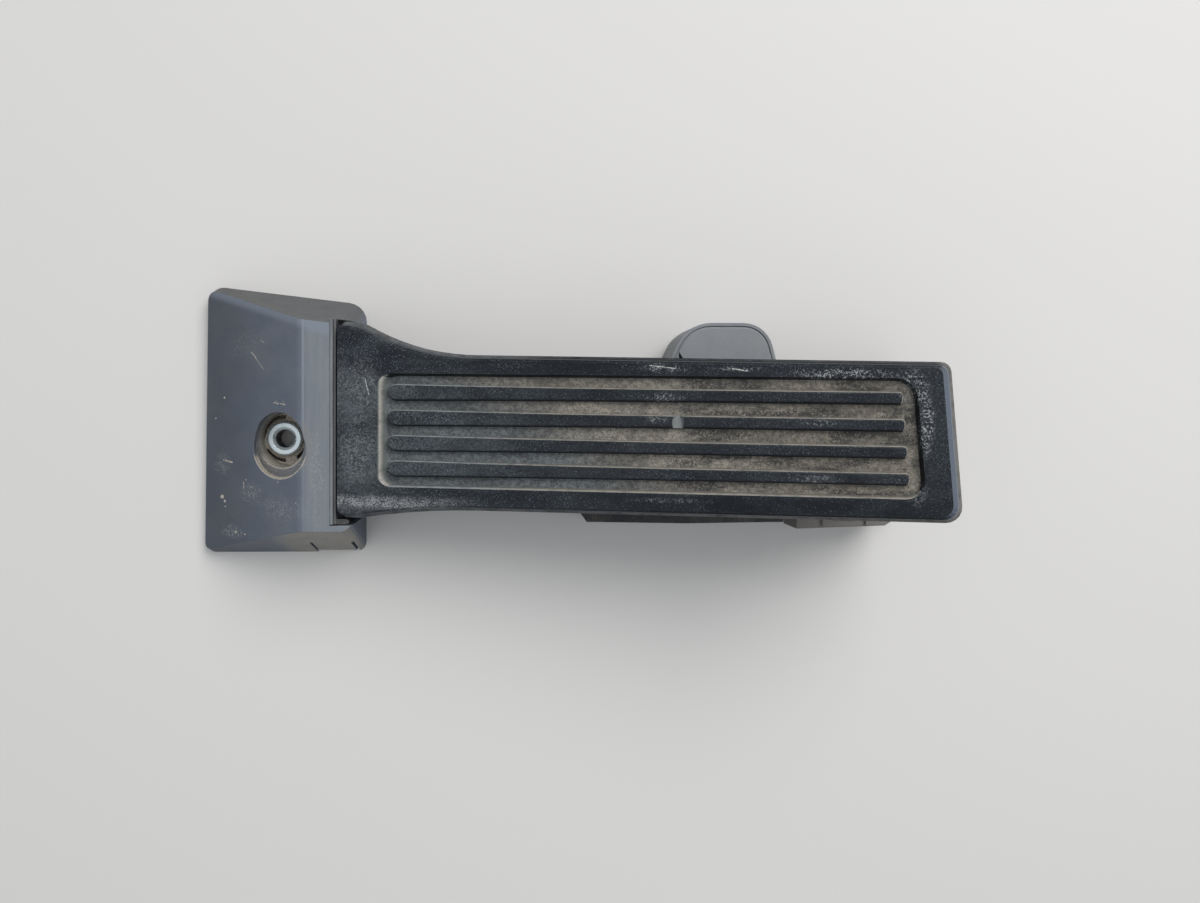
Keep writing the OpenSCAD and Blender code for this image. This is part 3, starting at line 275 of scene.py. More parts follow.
def make_scratch():
    """One scratch from Start to End, seen from above, with a ragged edge and a broken strength."""
    tree, start, end = new_group("scratch_line", [("Vector", VECTOR, None), ("Start", VECTOR, None),
                                 ("End", VECTOR, None), ("Width", FLOAT, 0.0003)], [("Mask", FLOAT)])
    sway = put(tree, "ShaderNodeTexNoise", {"Vector": start["Vector"], "Scale": 350.0}).outputs["Color"]
    wobble = vector_maths(tree, "MULTIPLY", sway, (0.0007, 0.0007, 0))
    flat = from_above(tree, vector_maths(tree, "ADD", start["Vector"], wobble))
    away = vector_maths(tree, "SUBTRACT", flat, start["Start"])
    along = vector_maths(tree, "SUBTRACT", start["End"], start["Start"])
    share = maths(tree, "DIVIDE", vector_maths(tree, "DOT_PRODUCT", away, along),
                  vector_maths(tree, "DOT_PRODUCT", along, along), True)
    scaled = put(tree, "ShaderNodeVectorMath", {0: along, "Scale": share}, operation="SCALE").outputs[0]
    gap = vector_maths(tree, "LENGTH", vector_maths(tree, "SUBTRACT", away, scaled))
    worn = ramp(tree, noise(tree, start["Vector"], 1100.0, 3.0), 0.3, 0.55)
    line = ramp(tree, gap, product(tree, start["Width"], 0.6), product(tree, start["Width"], 0.25))
    tree.links.new(maths(tree, "MULTIPLY", line, worn, True), end["Mask"])
    return tree


def make_scuffs():
    """Crackled scuffs: thin broken flecks inside an oval at Centre with half sizes Size."""
    tree, start, end = new_group("scuff_cloud", [("Vector", VECTOR, None), ("Centre", VECTOR, None),
                                 ("Size", VECTOR, (0.01, 0.01, 0.01)), ("Scale", FLOAT, 420.0),
                                 ("Amount", FLOAT, 0.8)], [("Mask", FLOAT)])
    away = vector_maths(tree, "DIVIDE", vector_maths(tree, "SUBTRACT", start["Vector"], start["Centre"]),
                        start["Size"])
    reach = vector_maths(tree, "LENGTH", from_above(tree, away))
    ragged = maths(tree, "ADD", reach, noise(tree, start["Vector"], 130.0, 4.0, 0.6))
    inside = ramp(tree, ragged, 1.45, 0.75)
    contour = apart(tree, noise(tree, start["Vector"], start["Scale"], 6.0, 0.7), 0.5)
    thin = ramp(tree, contour, 0.045, 0.008)
    fleck = ramp(tree, noise(tree, start["Vector"], product(tree, start["Scale"], 2.3), 3.0, 0.6), 0.46, 0.6)
    both = maths(tree, "ADD", product(tree, thin, 0.85), product(tree, thin, fleck), True)
    crumb = ramp(tree, noise(tree, start["Vector"], product(tree, start["Scale"], 3.1), 2.0), 0.60, 0.68)
    broken = maths(tree, "MAXIMUM", product(tree, both, fleck), product(tree, crumb, 0.8))
    tree.links.new(maths(tree, "MULTIPLY", product(tree, inside, broken), start["Amount"], True), end["Mask"])
    return tree


def make_chip():
    """One ragged chip at Centre, seen from above."""
    tree, start, end = new_group("chipped_spot", [("Vector", VECTOR, None), ("Centre", VECTOR, None),
                                 ("Radius", FLOAT, 0.0005)], [("Mask", FLOAT)])
    away = flat_distance(tree, start["Vector"], start["Centre"])
    torn = maths(tree, "ADD", away, product(tree, noise(tree, start["Vector"], 1300.0, 3.0), start["Radius"]))
    tree.links.new(ramp(tree, torn, product(tree, start["Radius"], 1.5), start["Radius"]), end["Mask"])
    return tree


edge_wear = make_edge_wear()
moulded_grain = make_grain()
settled_dust = make_dust()
scratch_line = make_scratch()
scuff_cloud = make_scuffs()
chipped_spot = make_chip()

# Colours that several pieces or kinds of marks share
heel_grey, heel_grey_dark = (0.092, 0.109, 0.137, 1), (0.076, 0.091, 0.117, 1)
dust_colour = (0.27, 0.24, 0.20, 1)
well_film = (0.20, 0.19, 0.17, 1)
# Beige of the well's dust, bright enough to act as painted light in the deep well
well_dust_and_light = (0.60, 0.54, 0.45, 1)
chalk_colour = (0.46, 0.46, 0.45, 1)
chip_colour = (0.45, 0.41, 0.35, 1)


# Materials
def new_material(name, rough, metal=0.0, shine=0.3):
    """A material with its constant values set on the shader, and the piece's own coordinates and normals."""
    material = bpy.data.materials.new(name)
    material.use_nodes = True
    tree = material.node_tree
    shader = tree.nodes["Principled BSDF"]
    shader.inputs["Roughness"].default_value = rough
    shader.inputs["Metallic"].default_value = metal
    shader.inputs["Specular IOR Level"].default_value = shine
    source = tree.nodes.new("ShaderNodeTexCoord")
    return material, tree, shader, source.outputs["Object"], source.outputs["Normal"]


def finish_surface(tree, shader, colour, rough, height=None, strength=0.15, distance=0.0002, soften=0.0004):
    """Links colour, roughness and a bump whose edges are softened by a small rounding."""
    tree.links.new(colour, shader.inputs["Base Color"])
    if rough is not None:
        tree.links.new(rough, shader.inputs["Roughness"])
    if height is not None:
        rounded = put(tree, "ShaderNodeBevel", {"Radius": soften}, samples=6)
        bump = put(tree, "ShaderNodeBump", {"Height": height, "Strength": strength, "Distance": distance,
                   "Normal": rounded.outputs[0]})
        tree.links.new(bump.outputs[0], shader.inputs["Normal"])


def lay_scuffs(tree, colour, vector, clouds, shade, scale):
    """Scuffs in one shade: each has a middle, its half sizes and a strength."""
    for centre, size, amount in clouds:
        cloud = fill_group(tree, scuff_cloud, {"Vector": vector, "Centre": centre, "Size": size,
                                               "Amount": amount, "Scale": scale})
        colour = mix_colour(tree, cloud.outputs[0], colour, shade)
    return colour


def lay_scratches(tree, colour, vector, lines, shade):
    """Scratches in one shade: each has two ends and a width."""
    for first, last, width in lines:
        line = fill_group(tree, scratch_line, {"Vector": vector, "Start": first, "End": last,
                                               "Width": width})
        colour = mix_colour(tree, line.outputs[0], colour, shade)
    return colour


def lay_chips(tree, colour, vector, spots, shade):
    """Chips in one shade: each has a middle and a radius."""
    for centre, radius in spots:
        spot = fill_group(tree, chipped_spot, {"Vector": vector, "Centre": centre, "Radius": radius})
        colour = mix_colour(tree, spot.outputs[0], colour, shade)
    return colour


def moulded_plastic(name, base, dark, wear=(0.3, 0.31, 0.32, 1), rough=0.5, dust=0.25, worn=0.4,
                    paint=None):
    """Moulded plastic with grain, mottling, worn edges and dust; paint adds what one piece has of its own."""
    material, tree, shader, place, facing = new_material(name, rough)
    skin = fill_group(tree, moulded_grain, {"Vector": place, "Scale": 2200.0})
    colour = mix_colour(tree, ramp(tree, skin.outputs["Tone"], 0.35, 0.65), dark, base)
    dusted = fill_group(tree, settled_dust, {"Vector": place, "Facing": facing, "Amount": dust})
    colour = mix_colour(tree, dusted.outputs[0], colour, dust_colour)
    edge = fill_group(tree, edge_wear, {"Vector": place, "Amount": worn})
    colour = mix_colour(tree, edge.outputs[0], colour, wear)
    if paint:
        colour = paint(tree, colour, place, facing)
    gloss = ramp(tree, skin.outputs["Tone"], 0.3, 0.7, rough - 0.06, rough + 0.1)
    finish_surface(tree, shader, colour, gloss, skin.outputs["Height"])
    return material


# What single pieces have of their own
def paint_well(tree, colour, place, facing):
    """Beige dust inside the bolt well, made brighter deeper down and on walls facing the toe as painted light
    against the well's shade, and pale rims on its crescent ledge that are dust and painted highlight.
    """
    x, y, z = parts(tree, place)
    away = flat_distance(tree, place, well_and_ledge)
    slope_height = maths(tree, "ADD", 0.024, product(tree, x, heel_slope))
    below = maths(tree, "SUBTRACT", slope_height, z)
    inside = product(tree, ramp(tree, away, 0.0127, 0.0122), ramp(tree, below, 0.0003, 0.0009))
    # Walls facing the toe take the dust too: dust and painted light against the well's shade
    wall_dust_and_light = ramp(tree, parts(tree, facing)[0], -0.3, 0.5, 0.12, 0.5)
    upward = maths(tree, "MAXIMUM", ramp(tree, parts(tree, facing)[2], 0.3, 0.8), wall_dust_and_light)
    speck = ramp(tree, noise(tree, place, 1700.0, 3.0), 0.34, 0.58, 0.4, 1.0)
    colour = mix_colour(tree, product(tree, inside, upward, speck, 0.45), colour, well_film)
    # Painted light: the dust brighter deeper down, against the well's shade
    painted_by_depth = ramp(tree, below, 0.0036, 0.0052)
    colour = mix_colour(tree, product(tree, inside, upward, speck, painted_by_depth), colour, well_dust_and_light)
    # Pale rims on the near side: dust and a painted highlight
    near = ramp(tree, y, -0.0045, -0.0070)
    ledge_rim = ramp(tree, apart(tree, flat_distance(tree, place, ledge_middle), ledge_radius),
                     0.00045, 0.0002)
    well_rim = ramp(tree, apart(tree, flat_distance(tree, place, well_middle), well_radius + 0.0002),
                    0.0005, 0.0002)
    rims_dust_and_highlight = product(tree, maths(tree, "MAXIMUM", ledge_rim, product(tree, well_rim, 0.8)), near, speck)
    return mix_colour(tree, rims_dust_and_highlight, colour, (0.46, 0.42, 0.36, 1))


heel_scuffs = (
    ((-0.0170, -0.0335, 0), (0.0060, 0.0035, 1), 0.65),
    ((-0.0090, -0.0185, 0), (0.0060, 0.0060, 1), 0.45),
    ((0.0030, -0.0235, 0), (0.0110, 0.0060, 1), 0.35),
    ((-0.0215, -0.0090, 0), (0.0045, 0.0060, 1), 0.4),
    ((0.0160, -0.0120, 0), (0.0040, 0.0220, 1), 0.3),
    ((-0.0100, 0.0330, 0), (0.0120, 0.0080, 1), 0.15),
)
heel_scratches = (
    ((-0.0083, 0.0306, 0), (-0.0052, 0.0268, 0), 0.00036),
    ((-0.0052, 0.0268, 0), (-0.0034, 0.0246, 0), 0.0002),
    ((-0.0044, 0.0345, 0), (-0.0030, 0.0335, 0), 0.0002),
    ((0.0006, 0.0131, 0), (0.0052, 0.0126, 0), 0.00035),
    ((0.0014, 0.0136, 0), (0.0020, 0.0126, 0), 0.0003),
    ((0.0044, 0.0136, 0), (0.0049, 0.0122, 0), 0.0003),
    ((-0.0208, -0.0075, 0), (-0.0170, -0.0081, 0), 0.0006),
    ((-0.0121, -0.0150, 0), (-0.0119, -0.0172, 0), 0.0003),
)
heel_chips = (
    ((-0.0205, 0.0144, 0), 0.00045), ((-0.0244, 0.0070, 0), 0.00035), ((-0.0217, -0.0210, 0), 0.0009),
    ((-0.0206, -0.0226, 0), 0.0006), ((-0.0204, -0.0245, 0), 0.00035), ((-0.0158, -0.0332, 0), 0.0005),
    ((-0.0119, -0.0337, 0), 0.0004), ((-0.0092, -0.0168, 0), 0.0003), ((-0.0114, -0.0144, 0), 0.0003),
    ((0.0019, -0.0143, 0), 0.0003), ((0.0090, -0.0210, 0), 0.0003),
)


def paint_heel(tree, colour, place, facing):
    """Hazed strip made brighter with painted light, the slope painted darker towards the heel front, painted
    shade on the far side face, painted highlights on the ridge and crease, dusty near flank, painted light on
    the shaded inner flank, and the marks of the heel cover.
    """
    x, y = parts(tree, place)[:2]
    across, upward = parts(tree, facing)[1], parts(tree, facing)[2]
    streak = noise(tree, stretch(tree, place, (700, 60, 200)), 1.0, 5.0, 0.6)
    strip = product(tree, ramp(tree, x, crease - 0.0014, crease + 0.0022), ramp(tree, upward, 0.82, 0.95))
    # Painted light: the slope darker at the heel front and lighter up to the crease and over the strip
    slope_painted_light = ramp(tree, x, -0.026, crease, 0.78, 1.28)
    factor = put(tree, "ShaderNodeCombineXYZ", {0: slope_painted_light, 1: slope_painted_light, 2: slope_painted_light}).outputs[0]
    colour = vector_maths(tree, "MULTIPLY", colour, factor)
    # Streaked haze on the top strip: partly a film, partly painted light that makes the strip brighter
    strip_haze_and_light = product(tree, strip, ramp(tree, streak, 0.2, 0.75, 0.5, 0.95))
    colour = mix_colour(tree, strip_haze_and_light, colour, (0.178, 0.196, 0.212, 1))
    # Painted shade: faces turned to the far side made darker
    far_side_shade = ramp(tree, across, 0.25, 0.6)
    colour = mix_colour(tree, product(tree, far_side_shade, 0.85), colour, (0.070, 0.070, 0.069, 1))
    # Painted highlight: a lighter bluish band along the rounded ridge, on upward faces
    ridge_line = maths(tree, "SUBTRACT", ridge_start, product(tree, x, ridge_slope))
    from_ridge = maths(tree, "SUBTRACT", ridge_line, y)
    ridge_highlight = product(tree, ramp(tree, from_ridge, 0.0036, 0.0008), ramp(tree, upward, 0.5, 0.75))
    colour = mix_colour(tree, product(tree, ridge_highlight, 0.7), colour, (0.185, 0.215, 0.262, 1))
    # Painted highlight: a pale line along the crease
    line = product(tree, ramp(tree, apart(tree, x, crease), 0.0006, 0.0001),
                   ramp(tree, upward, 0.75, 0.85), ramp(tree, y, -0.03, 0.02, 0.15, 0.6))
    colour = mix_colour(tree, line, colour, (0.22, 0.25, 0.29, 1))
    near_dust = product(tree, ramp(tree, across, -0.3, -0.8), ramp(tree, x, -0.004, 0.006),
                        ramp(tree, noise(tree, place, 120.0, 6.0, 0.65), 0.2, 0.6, 0.5, 1.0))
    colour = mix_colour(tree, product(tree, near_dust, 0.8), colour, (0.25, 0.23, 0.195, 1))
    colour = paint_well(tree, colour, place, facing)
    colour = lay_scuffs(tree, colour, place, heel_scuffs, chalk_colour, 700.0)
    colour = lay_scratches(tree, colour, place, heel_scratches, chip_colour)
    # Painted light: the inner wall of the near flank, which lies in shade, made lighter
    inner_flank_light = product(tree, ramp(tree, y, near_flank - 0.0004, near_flank - 0.0001),
                          ramp(tree, y, near_flank + 0.0006, near_flank + 0.0002),
                          ramp(tree, x, 0.0225, 0.0235))
    colour = mix_colour(tree, product(tree, inner_flank_light, 0.8), colour, (0.20, 0.225, 0.26, 1))
    return lay_chips(tree, colour, place, heel_chips, chip_colour)


def paint_housing(tree, colour, place, facing):
    """Sensor pod in the grey of its lid, heel end in the heel's grey, and dust with painted light round the
    bolt sleeve.
    """
    x, y = parts(tree, place)[:2]
    pod = product(tree, ramp(tree, y, pod_side, pod_side + 0.0003),
                  ramp(tree, x, pod_start, pod_start + 0.001))
    heel = ramp(tree, x, heel_end, heel_end - 0.0015)
    tone = ramp(tree, noise(tree, place, 70.0, 6.0, 0.6), 0.35, 0.65)
    pod_tone = mix_colour(tree, tone, (0.188, 0.200, 0.218, 1), (0.215, 0.226, 0.242, 1))
    colour = mix_colour(tree, product(tree, pod, 0.95), colour, pod_tone)
    heel_tone = mix_colour(tree, tone, heel_grey_dark, heel_grey)
    colour = mix_colour(tree, product(tree, heel, 0.95), colour, heel_tone)
    return paint_well(tree, colour, place, facing)


def paint_strip(tree, colour, place, facing):
    """Light grey edge of the sealing strip beside its darker round lip."""
    x = parts(tree, place)[0]
    streak = ramp(tree, noise(tree, stretch(tree, place, (900, 90, 400)), 1.0, 5.0), 0.3, 0.7, 0.55, 0.95)
    edge = product(tree, ramp(tree, x, strip_step, strip_step - 0.00015), streak)
    lip = product(tree, ramp(tree, x, strip_step, strip_step + 0.00015),
                  ramp(tree, x, 0.0223, 0.0221), streak)
    colour = mix_colour(tree, lip, colour, (0.125, 0.130, 0.136, 1))
    return mix_colour(tree, edge, colour, (0.20, 0.215, 0.23, 1))


def shade_bore(tree, colour, place, facing):
    """Painted shade: the bore of the bolt sleeve darkened down its length, where it lies in shadow."""
    away = flat_distance(tree, place, (0, 0, 0))
    # Painted shade deep in the bore
    painted_by_depth = product(tree, ramp(tree, away, 0.0037, 0.0034), ramp(tree, parts(tree, place)[2], 0.0079, 0.0070))
    return mix_colour(tree, painted_by_depth, colour, (0.012, 0.012, 0.013, 1))


def paint_carrier(tree, colour, place, facing):
    """Dust on the lip that shows round the tread: at the toe, on the near side and on the far flare."""
    x, y = parts(tree, place)[:2]
    lip = ramp(tree, parts(tree, facing)[2], 0.6, 0.9)
    toe = ramp(tree, x, carrier_toe_lip, carrier_toe_lip + 0.003)
    near = ramp(tree, y, carrier_near_lip, carrier_near_lip - 0.001)
    flare = product(tree, ramp(tree, y, 0.020, 0.026), ramp(tree, x, 0.105, 0.065))
    where = maths(tree, "MAXIMUM", maths(tree, "MAXIMUM", toe, near), flare)
    cover = ramp(tree, noise(tree, place, 260.0, 6.0, 0.6), 0.28, 0.6, 0.3, 0.9)
    dust = mix_colour(tree, ramp(tree, x, 0.10, 0.19), (0.150, 0.156, 0.165, 1), (0.190, 0.184, 0.170, 1))
    return mix_colour(tree, product(tree, lip, where, cover), colour, dust)


def bare_metal(name, base, dark, rough, scale=(1, 1, 1), dirt=0.25, metal=1.0, paint=None):
    """Plated, ground or sintered metal with fine streaks and grime in its corners."""
    material, tree, shader, place, facing = new_material(name, rough, metal, 0.5)
    streak = noise(tree, stretch(tree, place, scale), 1.0, 5.0, 0.6)
    colour = mix_colour(tree, ramp(tree, streak, 0.35, 0.7), dark, base)
    dusted = fill_group(tree, settled_dust, {"Vector": place, "Facing": facing, "Amount": dirt,
                                             "Scale": 200.0, "Reach": 0.002})
    colour = mix_colour(tree, dusted.outputs[0], colour, (0.12, 0.10, 0.08, 1))
    if paint:
        colour = paint(tree, colour, place, facing)
    gloss = ramp(tree, streak, 0.3, 0.75, rough - 0.08, rough + 0.14)
    finish_surface(tree, shader, colour, gloss, streak, 0.05, soften=0.0003)
    clean = maths(tree, "SUBTRACT", 1.0, dusted.outputs[0], True)
    tree.links.new(product(tree, clean, metal), shader.inputs["Metallic"])
    return material


tread_scuffs = (
    ((0.108, 0.0215, 0), (0.010, 0.0022, 1), 0.8),
    ((0.131, 0.0215, 0), (0.010, 0.0014, 1), 0.5),
    ((0.165, 0.0200, 0), (0.021, 0.0028, 1), 0.85),
    ((0.186, 0.0165, 0), (0.0065, 0.0075, 1), 0.9),
    ((0.190, 0.0040, 0), (0.0032, 0.0130, 1), 0.9),
    ((0.188, -0.0170, 0), (0.0040, 0.0060, 1), 0.4),
    ((0.107, 0.0120, 0), (0.009, 0.0022, 1), 0.7),
    ((0.106, 0.0048, 0), (0.005, 0.0022, 1), 0.5),
    ((0.158, 0.0046, 0), (0.010, 0.0018, 1), 0.4),
    ((0.155, -0.0133, 0), (0.012, 0.0018, 1), 0.45),
    ((0.010, -0.0240, 0), (0.020, 0.0030, 1), 0.6),
    ((0.110, -0.0212, 0), (0.018, 0.0012, 1), 0.4),
    ((0.007, 0.0140, 0), (0.0090, 0.0150, 1), 0.3),
    ((0.0060, -0.0080, 0), (0.0085, 0.0140, 1), 0.35),
    ((0.058, 0.0220, 0), (0.012, 0.0012, 1), 0.12),
)
tread_scratches = (
    ((0.1035, 0.0226, 0), (0.1120, 0.0217, 0), 0.0003),
    ((0.0085, 0.0175, 0), (0.0100, 0.0120, 0), 0.0003),
    ((0.1300, 0.0218, 0), (0.1345, 0.0212, 0), 0.00035),
)


def rub_black(tree, colour, pad, slant):
    """Rubbed patches painted with a bluish sheen, haze and specks on the black of the tread, and a painted
    bluish highlight on its toe edge.
    """
    along, across = parts(tree, pad)[:2]
    side = maths(tree, "ABSOLUTE", across)
    # Rubbed patches worn smoother, painted lighter and bluish as a painted sheen, most towards the heel
    rubbed_and_sheen = ramp(tree, noise(tree, stretch(tree, pad, (30, 90, 40)), 1.0, 7.0, 0.65), 0.40, 0.72)
    painted_sheen = product(tree, rubbed_and_sheen, ramp(tree, along, 0.09, 0.0, 0.3, 0.9))
    colour = mix_colour(tree, painted_sheen, colour, (0.043, 0.051, 0.058, 1))
    patches = noise(tree, stretch(tree, pad, (90, 200, 40)), 1.0, 4.0, 0.6)
    rib_haze = product(tree, ramp(tree, side, 0.0185, 0.018), ramp(tree, along, 0.085, 0.015, 0.2, 1.0),
                       ramp(tree, noise(tree, pad, 1500.0, 3.0, 0.8), 0.40, 0.62),
                       ramp(tree, patches, 0.35, 0.6, 0.3, 1.0))
    colour = mix_colour(tree, product(tree, rib_haze, 0.75), colour, (0.085, 0.098, 0.106, 1))
    heel_haze = product(tree, ramp(tree, along, 0.014, 0.004),
                        ramp(tree, noise(tree, pad, 85.0, 8.0, 0.7), 0.42, 0.7),
                        ramp(tree, noise(tree, pad, 1500.0, 4.0, 0.7), 0.35, 0.62))
    colour = mix_colour(tree, product(tree, heel_haze, 0.65), colour, (0.125, 0.135, 0.150, 1))
    speck = ramp(tree, noise(tree, pad, 1900.0, 2.0, 0.6), 0.56, 0.72)
    spread = maths(tree, "ADD", ramp(tree, noise(tree, pad, 60.0, 5.0, 0.6), 0.3, 0.7, 0.3, 0.9),
                   ramp(tree, along, 0.06, 0.01, 0.0, 0.3), True)
    colour = mix_colour(tree, product(tree, speck, spread), colour, (0.13, 0.145, 0.165, 1))
    streaks = noise(tree, stretch(tree, pad, (60, 150, 40)), 1.0, 5.0, 0.6)
    bare = product(tree, ramp(tree, across, -0.0192, -0.0205), ramp(tree, along, 0.075, 0.115),
                   ramp(tree, streaks, 0.38, 0.6, 0.3, 1.0))
    colour = mix_colour(tree, product(tree, bare, 0.6), colour, (0.004, 0.005, 0.007, 1))
    # Painted highlight: bluish reflection on the toe edge where it turns to the toe
    toe = product(tree, ramp(tree, parts(tree, slant)[0], 0.12, 0.45), ramp(tree, along, 0.189, 0.193))
    return mix_colour(tree, product(tree, toe, 0.85), colour, (0.135, 0.160, 0.200, 1))


def dust_recess(tree, colour, pad):
    """Dust on the recess floor, bluish at the heel, beige and worn at the toe, and the floor's mask."""
    along, across, height = parts(tree, pad)
    side = maths(tree, "ABSOLUTE", across)
    low = product(tree, ramp(tree, height, recess_floor + 0.0009, recess_floor + 0.0002),
                  ramp(tree, side, recess_half + 0.0006, recess_half + 0.0003),
                  ramp(tree, along, recess_start - 0.0004, recess_start),
                  ramp(tree, along, recess_end + 0.0030, recess_end + 0.0026))
    turn_beige = maths(tree, "ADD", along, product(tree, across, 1.8))
    powder = mix_colour(tree, ramp(tree, turn_beige, 0.050, 0.098), (0.140, 0.155, 0.162, 1),
                        (0.285, 0.262, 0.225, 1))
    powder = mix_colour(tree, ramp(tree, along, 0.11, 0.16), powder, (0.220, 0.200, 0.168, 1))
    powder = mix_colour(tree, ramp(tree, noise(tree, pad, 700.0, 4.0, 0.7), 0.35, 0.65),
                        product_colour(tree, powder, 0.62), product_colour(tree, powder, 1.22))
    patchy = ramp(tree, noise(tree, stretch(tree, pad, (38, 120, 40)), 1.0, 6.0, 0.62), 0.34, 0.62, 0.5, 1.0)
    pits = ramp(tree, noise(tree, pad, 2100.0, 3.0, 0.7), 0.36, 0.50)
    thin = noise(tree, stretch(tree, pad, (70, 230, 40)), 1.0, 4.0, 0.6)
    worn_through = product(tree, ramp(tree, along, 0.085, 0.125), ramp(tree, thin, 0.47, 0.6),
                           ramp(tree, noise(tree, pad, 1300.0, 3.0, 0.7), 0.4, 0.52))
    kept = maths(tree, "SUBTRACT", 1.0, product(tree, worn_through, 0.8), True)
    filled = maths(tree, "ADD", product(tree, pits, 0.75), 0.3)
    cover = product(tree, low, kept, maths(tree, "MULTIPLY", patchy, filled, True))
    colour = mix_colour(tree, low, colour, (0.032, 0.033, 0.034, 1))
    return mix_colour(tree, cover, colour, powder), low


def paint_wall_light_and_shade(tree, colour, pad, slant):
    """Painted light and shade on walls and rib edges: a dust-coloured painted highlight where they face the
    far side or the toe and on the heel-end ramp, painted shade where they turn away, and a grey fill in the
    rib's pocket.
    """
    along, across, height = parts(tree, pad)
    side = maths(tree, "ABSOLUTE", across)
    box = product(tree, ramp(tree, along, recess_start - 0.0002, recess_start + 0.0006),
                  ramp(tree, along, recess_end + 0.0026, recess_end + 0.0018),
                  ramp(tree, side, recess_half + 0.0005, recess_half + 0.0001))
    dusty_light_breakup = ramp(tree, noise(tree, stretch(tree, pad, (300, 500, 300)), 1.0, 5.0, 0.6), 0.25, 0.6, 0.5, 0.95)
    # Painted highlight, in a dust colour, on walls and rib edges facing the far side or the toe
    far_facing = ramp(tree, parts(tree, slant)[1], 0.40, 0.72)
    toe_facing = product(tree, ramp(tree, parts(tree, slant)[0], 0.35, 0.6), ramp(tree, along, 0.165, 0.175))
    wall_highlight = product(tree, box, maths(tree, "MAXIMUM", far_facing, toe_facing), dusty_light_breakup)
    past_heel = ramp(tree, along, 0.03, 0.08)
    edge_highlight_tone = mix_colour(tree, past_heel, (0.27, 0.285, 0.29, 1), (0.30, 0.283, 0.25, 1))
    wall_face_highlight_tone = mix_colour(tree, past_heel, (0.115, 0.125, 0.130, 1), (0.165, 0.153, 0.132, 1))
    wall_highlight_tone = mix_colour(tree, ramp(tree, height, 0.0075, 0.0083), wall_face_highlight_tone, edge_highlight_tone)
    colour = mix_colour(tree, wall_highlight, colour, wall_highlight_tone)
    # Painted highlight, in a dust colour, on the heel-end ramp that faces the toe
    heel_ramp_highlight = product(tree, box, ramp(tree, along, 0.030, 0.020),
                        ramp(tree, parts(tree, slant)[0], 0.05, 0.4), dusty_light_breakup)
    ramp_highlight_tone = mix_colour(tree, ramp(tree, height, 0.0074, 0.0088), (0.125, 0.132, 0.130, 1),
                           (0.36, 0.345, 0.31, 1))
    colour = mix_colour(tree, heel_ramp_highlight, colour, ramp_highlight_tone)
    from_pocket = vector_maths(tree, "MULTIPLY", vector_maths(tree, "SUBTRACT", pad, rib_pocket), (1, 0.6, 0))
    pocket = product(tree, ramp(tree, vector_maths(tree, "LENGTH", from_pocket), 0.0022, 0.0019),
                     ramp(tree, height, 0.0084, 0.0080), ramp(tree, height, 0.0069, 0.0072))
    colour = mix_colour(tree, pocket, colour, (0.19, 0.20, 0.20, 1))
    # Painted shade on walls and rib edges turned away from the far side
    turned_away = vector_maths(tree, "DOT_PRODUCT", slant, (-0.5, -0.86, 0))
    wall_shade = product(tree, box, ramp(tree, turned_away, 0.22, 0.5))
    return mix_colour(tree, product(tree, wall_shade, 0.9), colour, (0.007, 0.008, 0.010, 1))


def rub_near_border(tree, colour, pad):
    """Grey rubbed band along the near border at the heel."""
    along, across = parts(tree, pad)[:2]
    ragged = product(tree, noise(tree, pad, 90.0, 5.0), 0.0012)
    border = maths(tree, "ADD", across, maths(tree, "ADD", 0.0238, ragged))
    band = product(tree, ramp(tree, maths(tree, "ABSOLUTE", border), 0.0030, 0.0006),
                   ramp(tree, along, 0.052, 0.020),
                   ramp(tree, noise(tree, pad, 1900.0, 4.0, 0.75), 0.42, 0.58),
                   ramp(tree, noise(tree, pad, 330.0, 5.0, 0.65), 0.36, 0.56, 0.35, 1.0))
    return mix_colour(tree, product(tree, band, 0.9), colour, (0.29, 0.30, 0.31, 1))


def worn_tread():
    """Worn black tread, with its patterns laid out along the pad as if it lay level."""
    material, tree, shader, place, facing = new_material("worn_tread", 0.45, shine=0.16)
    turn = Matrix.Rotation(rest_angle, 3, "Y")
    pad = put(tree, "ShaderNodeMapping", {"Vector": place, "Location": -(turn @ hinge),
              "Rotation": (0, rest_angle, 0)}).outputs[0]
    slant = put(tree, "ShaderNodeMapping", {"Vector": facing, "Rotation": (0, rest_angle, 0)},
                vector_type="VECTOR").outputs[0]
    skin = fill_group(tree, moulded_grain, {"Vector": pad, "Scale": 1500.0})
    tone = skin.outputs["Tone"]
    colour = mix_colour(tree, ramp(tree, tone, 0.35, 0.65), (0.0060, 0.0080, 0.0115, 1),
                        (0.0135, 0.0172, 0.0225, 1))
    colour = rub_black(tree, colour, pad, slant)
    colour, low = dust_recess(tree, colour, pad)
    colour = paint_wall_light_and_shade(tree, colour, pad, slant)
    colour = lay_scuffs(tree, colour, pad, tread_scuffs, (0.36, 0.37, 0.375, 1), 560.0)
    colour = rub_near_border(tree, colour, pad)
    colour = lay_scratches(tree, colour, pad, tread_scratches, chalk_colour)
    edge = fill_group(tree, edge_wear, {"Vector": pad, "Amount": 0.22, "Scale": 160.0, "Radius": 0.0006})
    colour = mix_colour(tree, edge.outputs[0], colour, (0.20, 0.22, 0.25, 1))
    rough = maths(tree, "ADD", ramp(tree, tone, 0.3, 0.7, 0.36, 0.5), product(tree, low, 0.4), True)
    finish_surface(tree, shader, colour, rough, skin.outputs["Height"], 0.25, 0.00025, 0.0003)
    return material


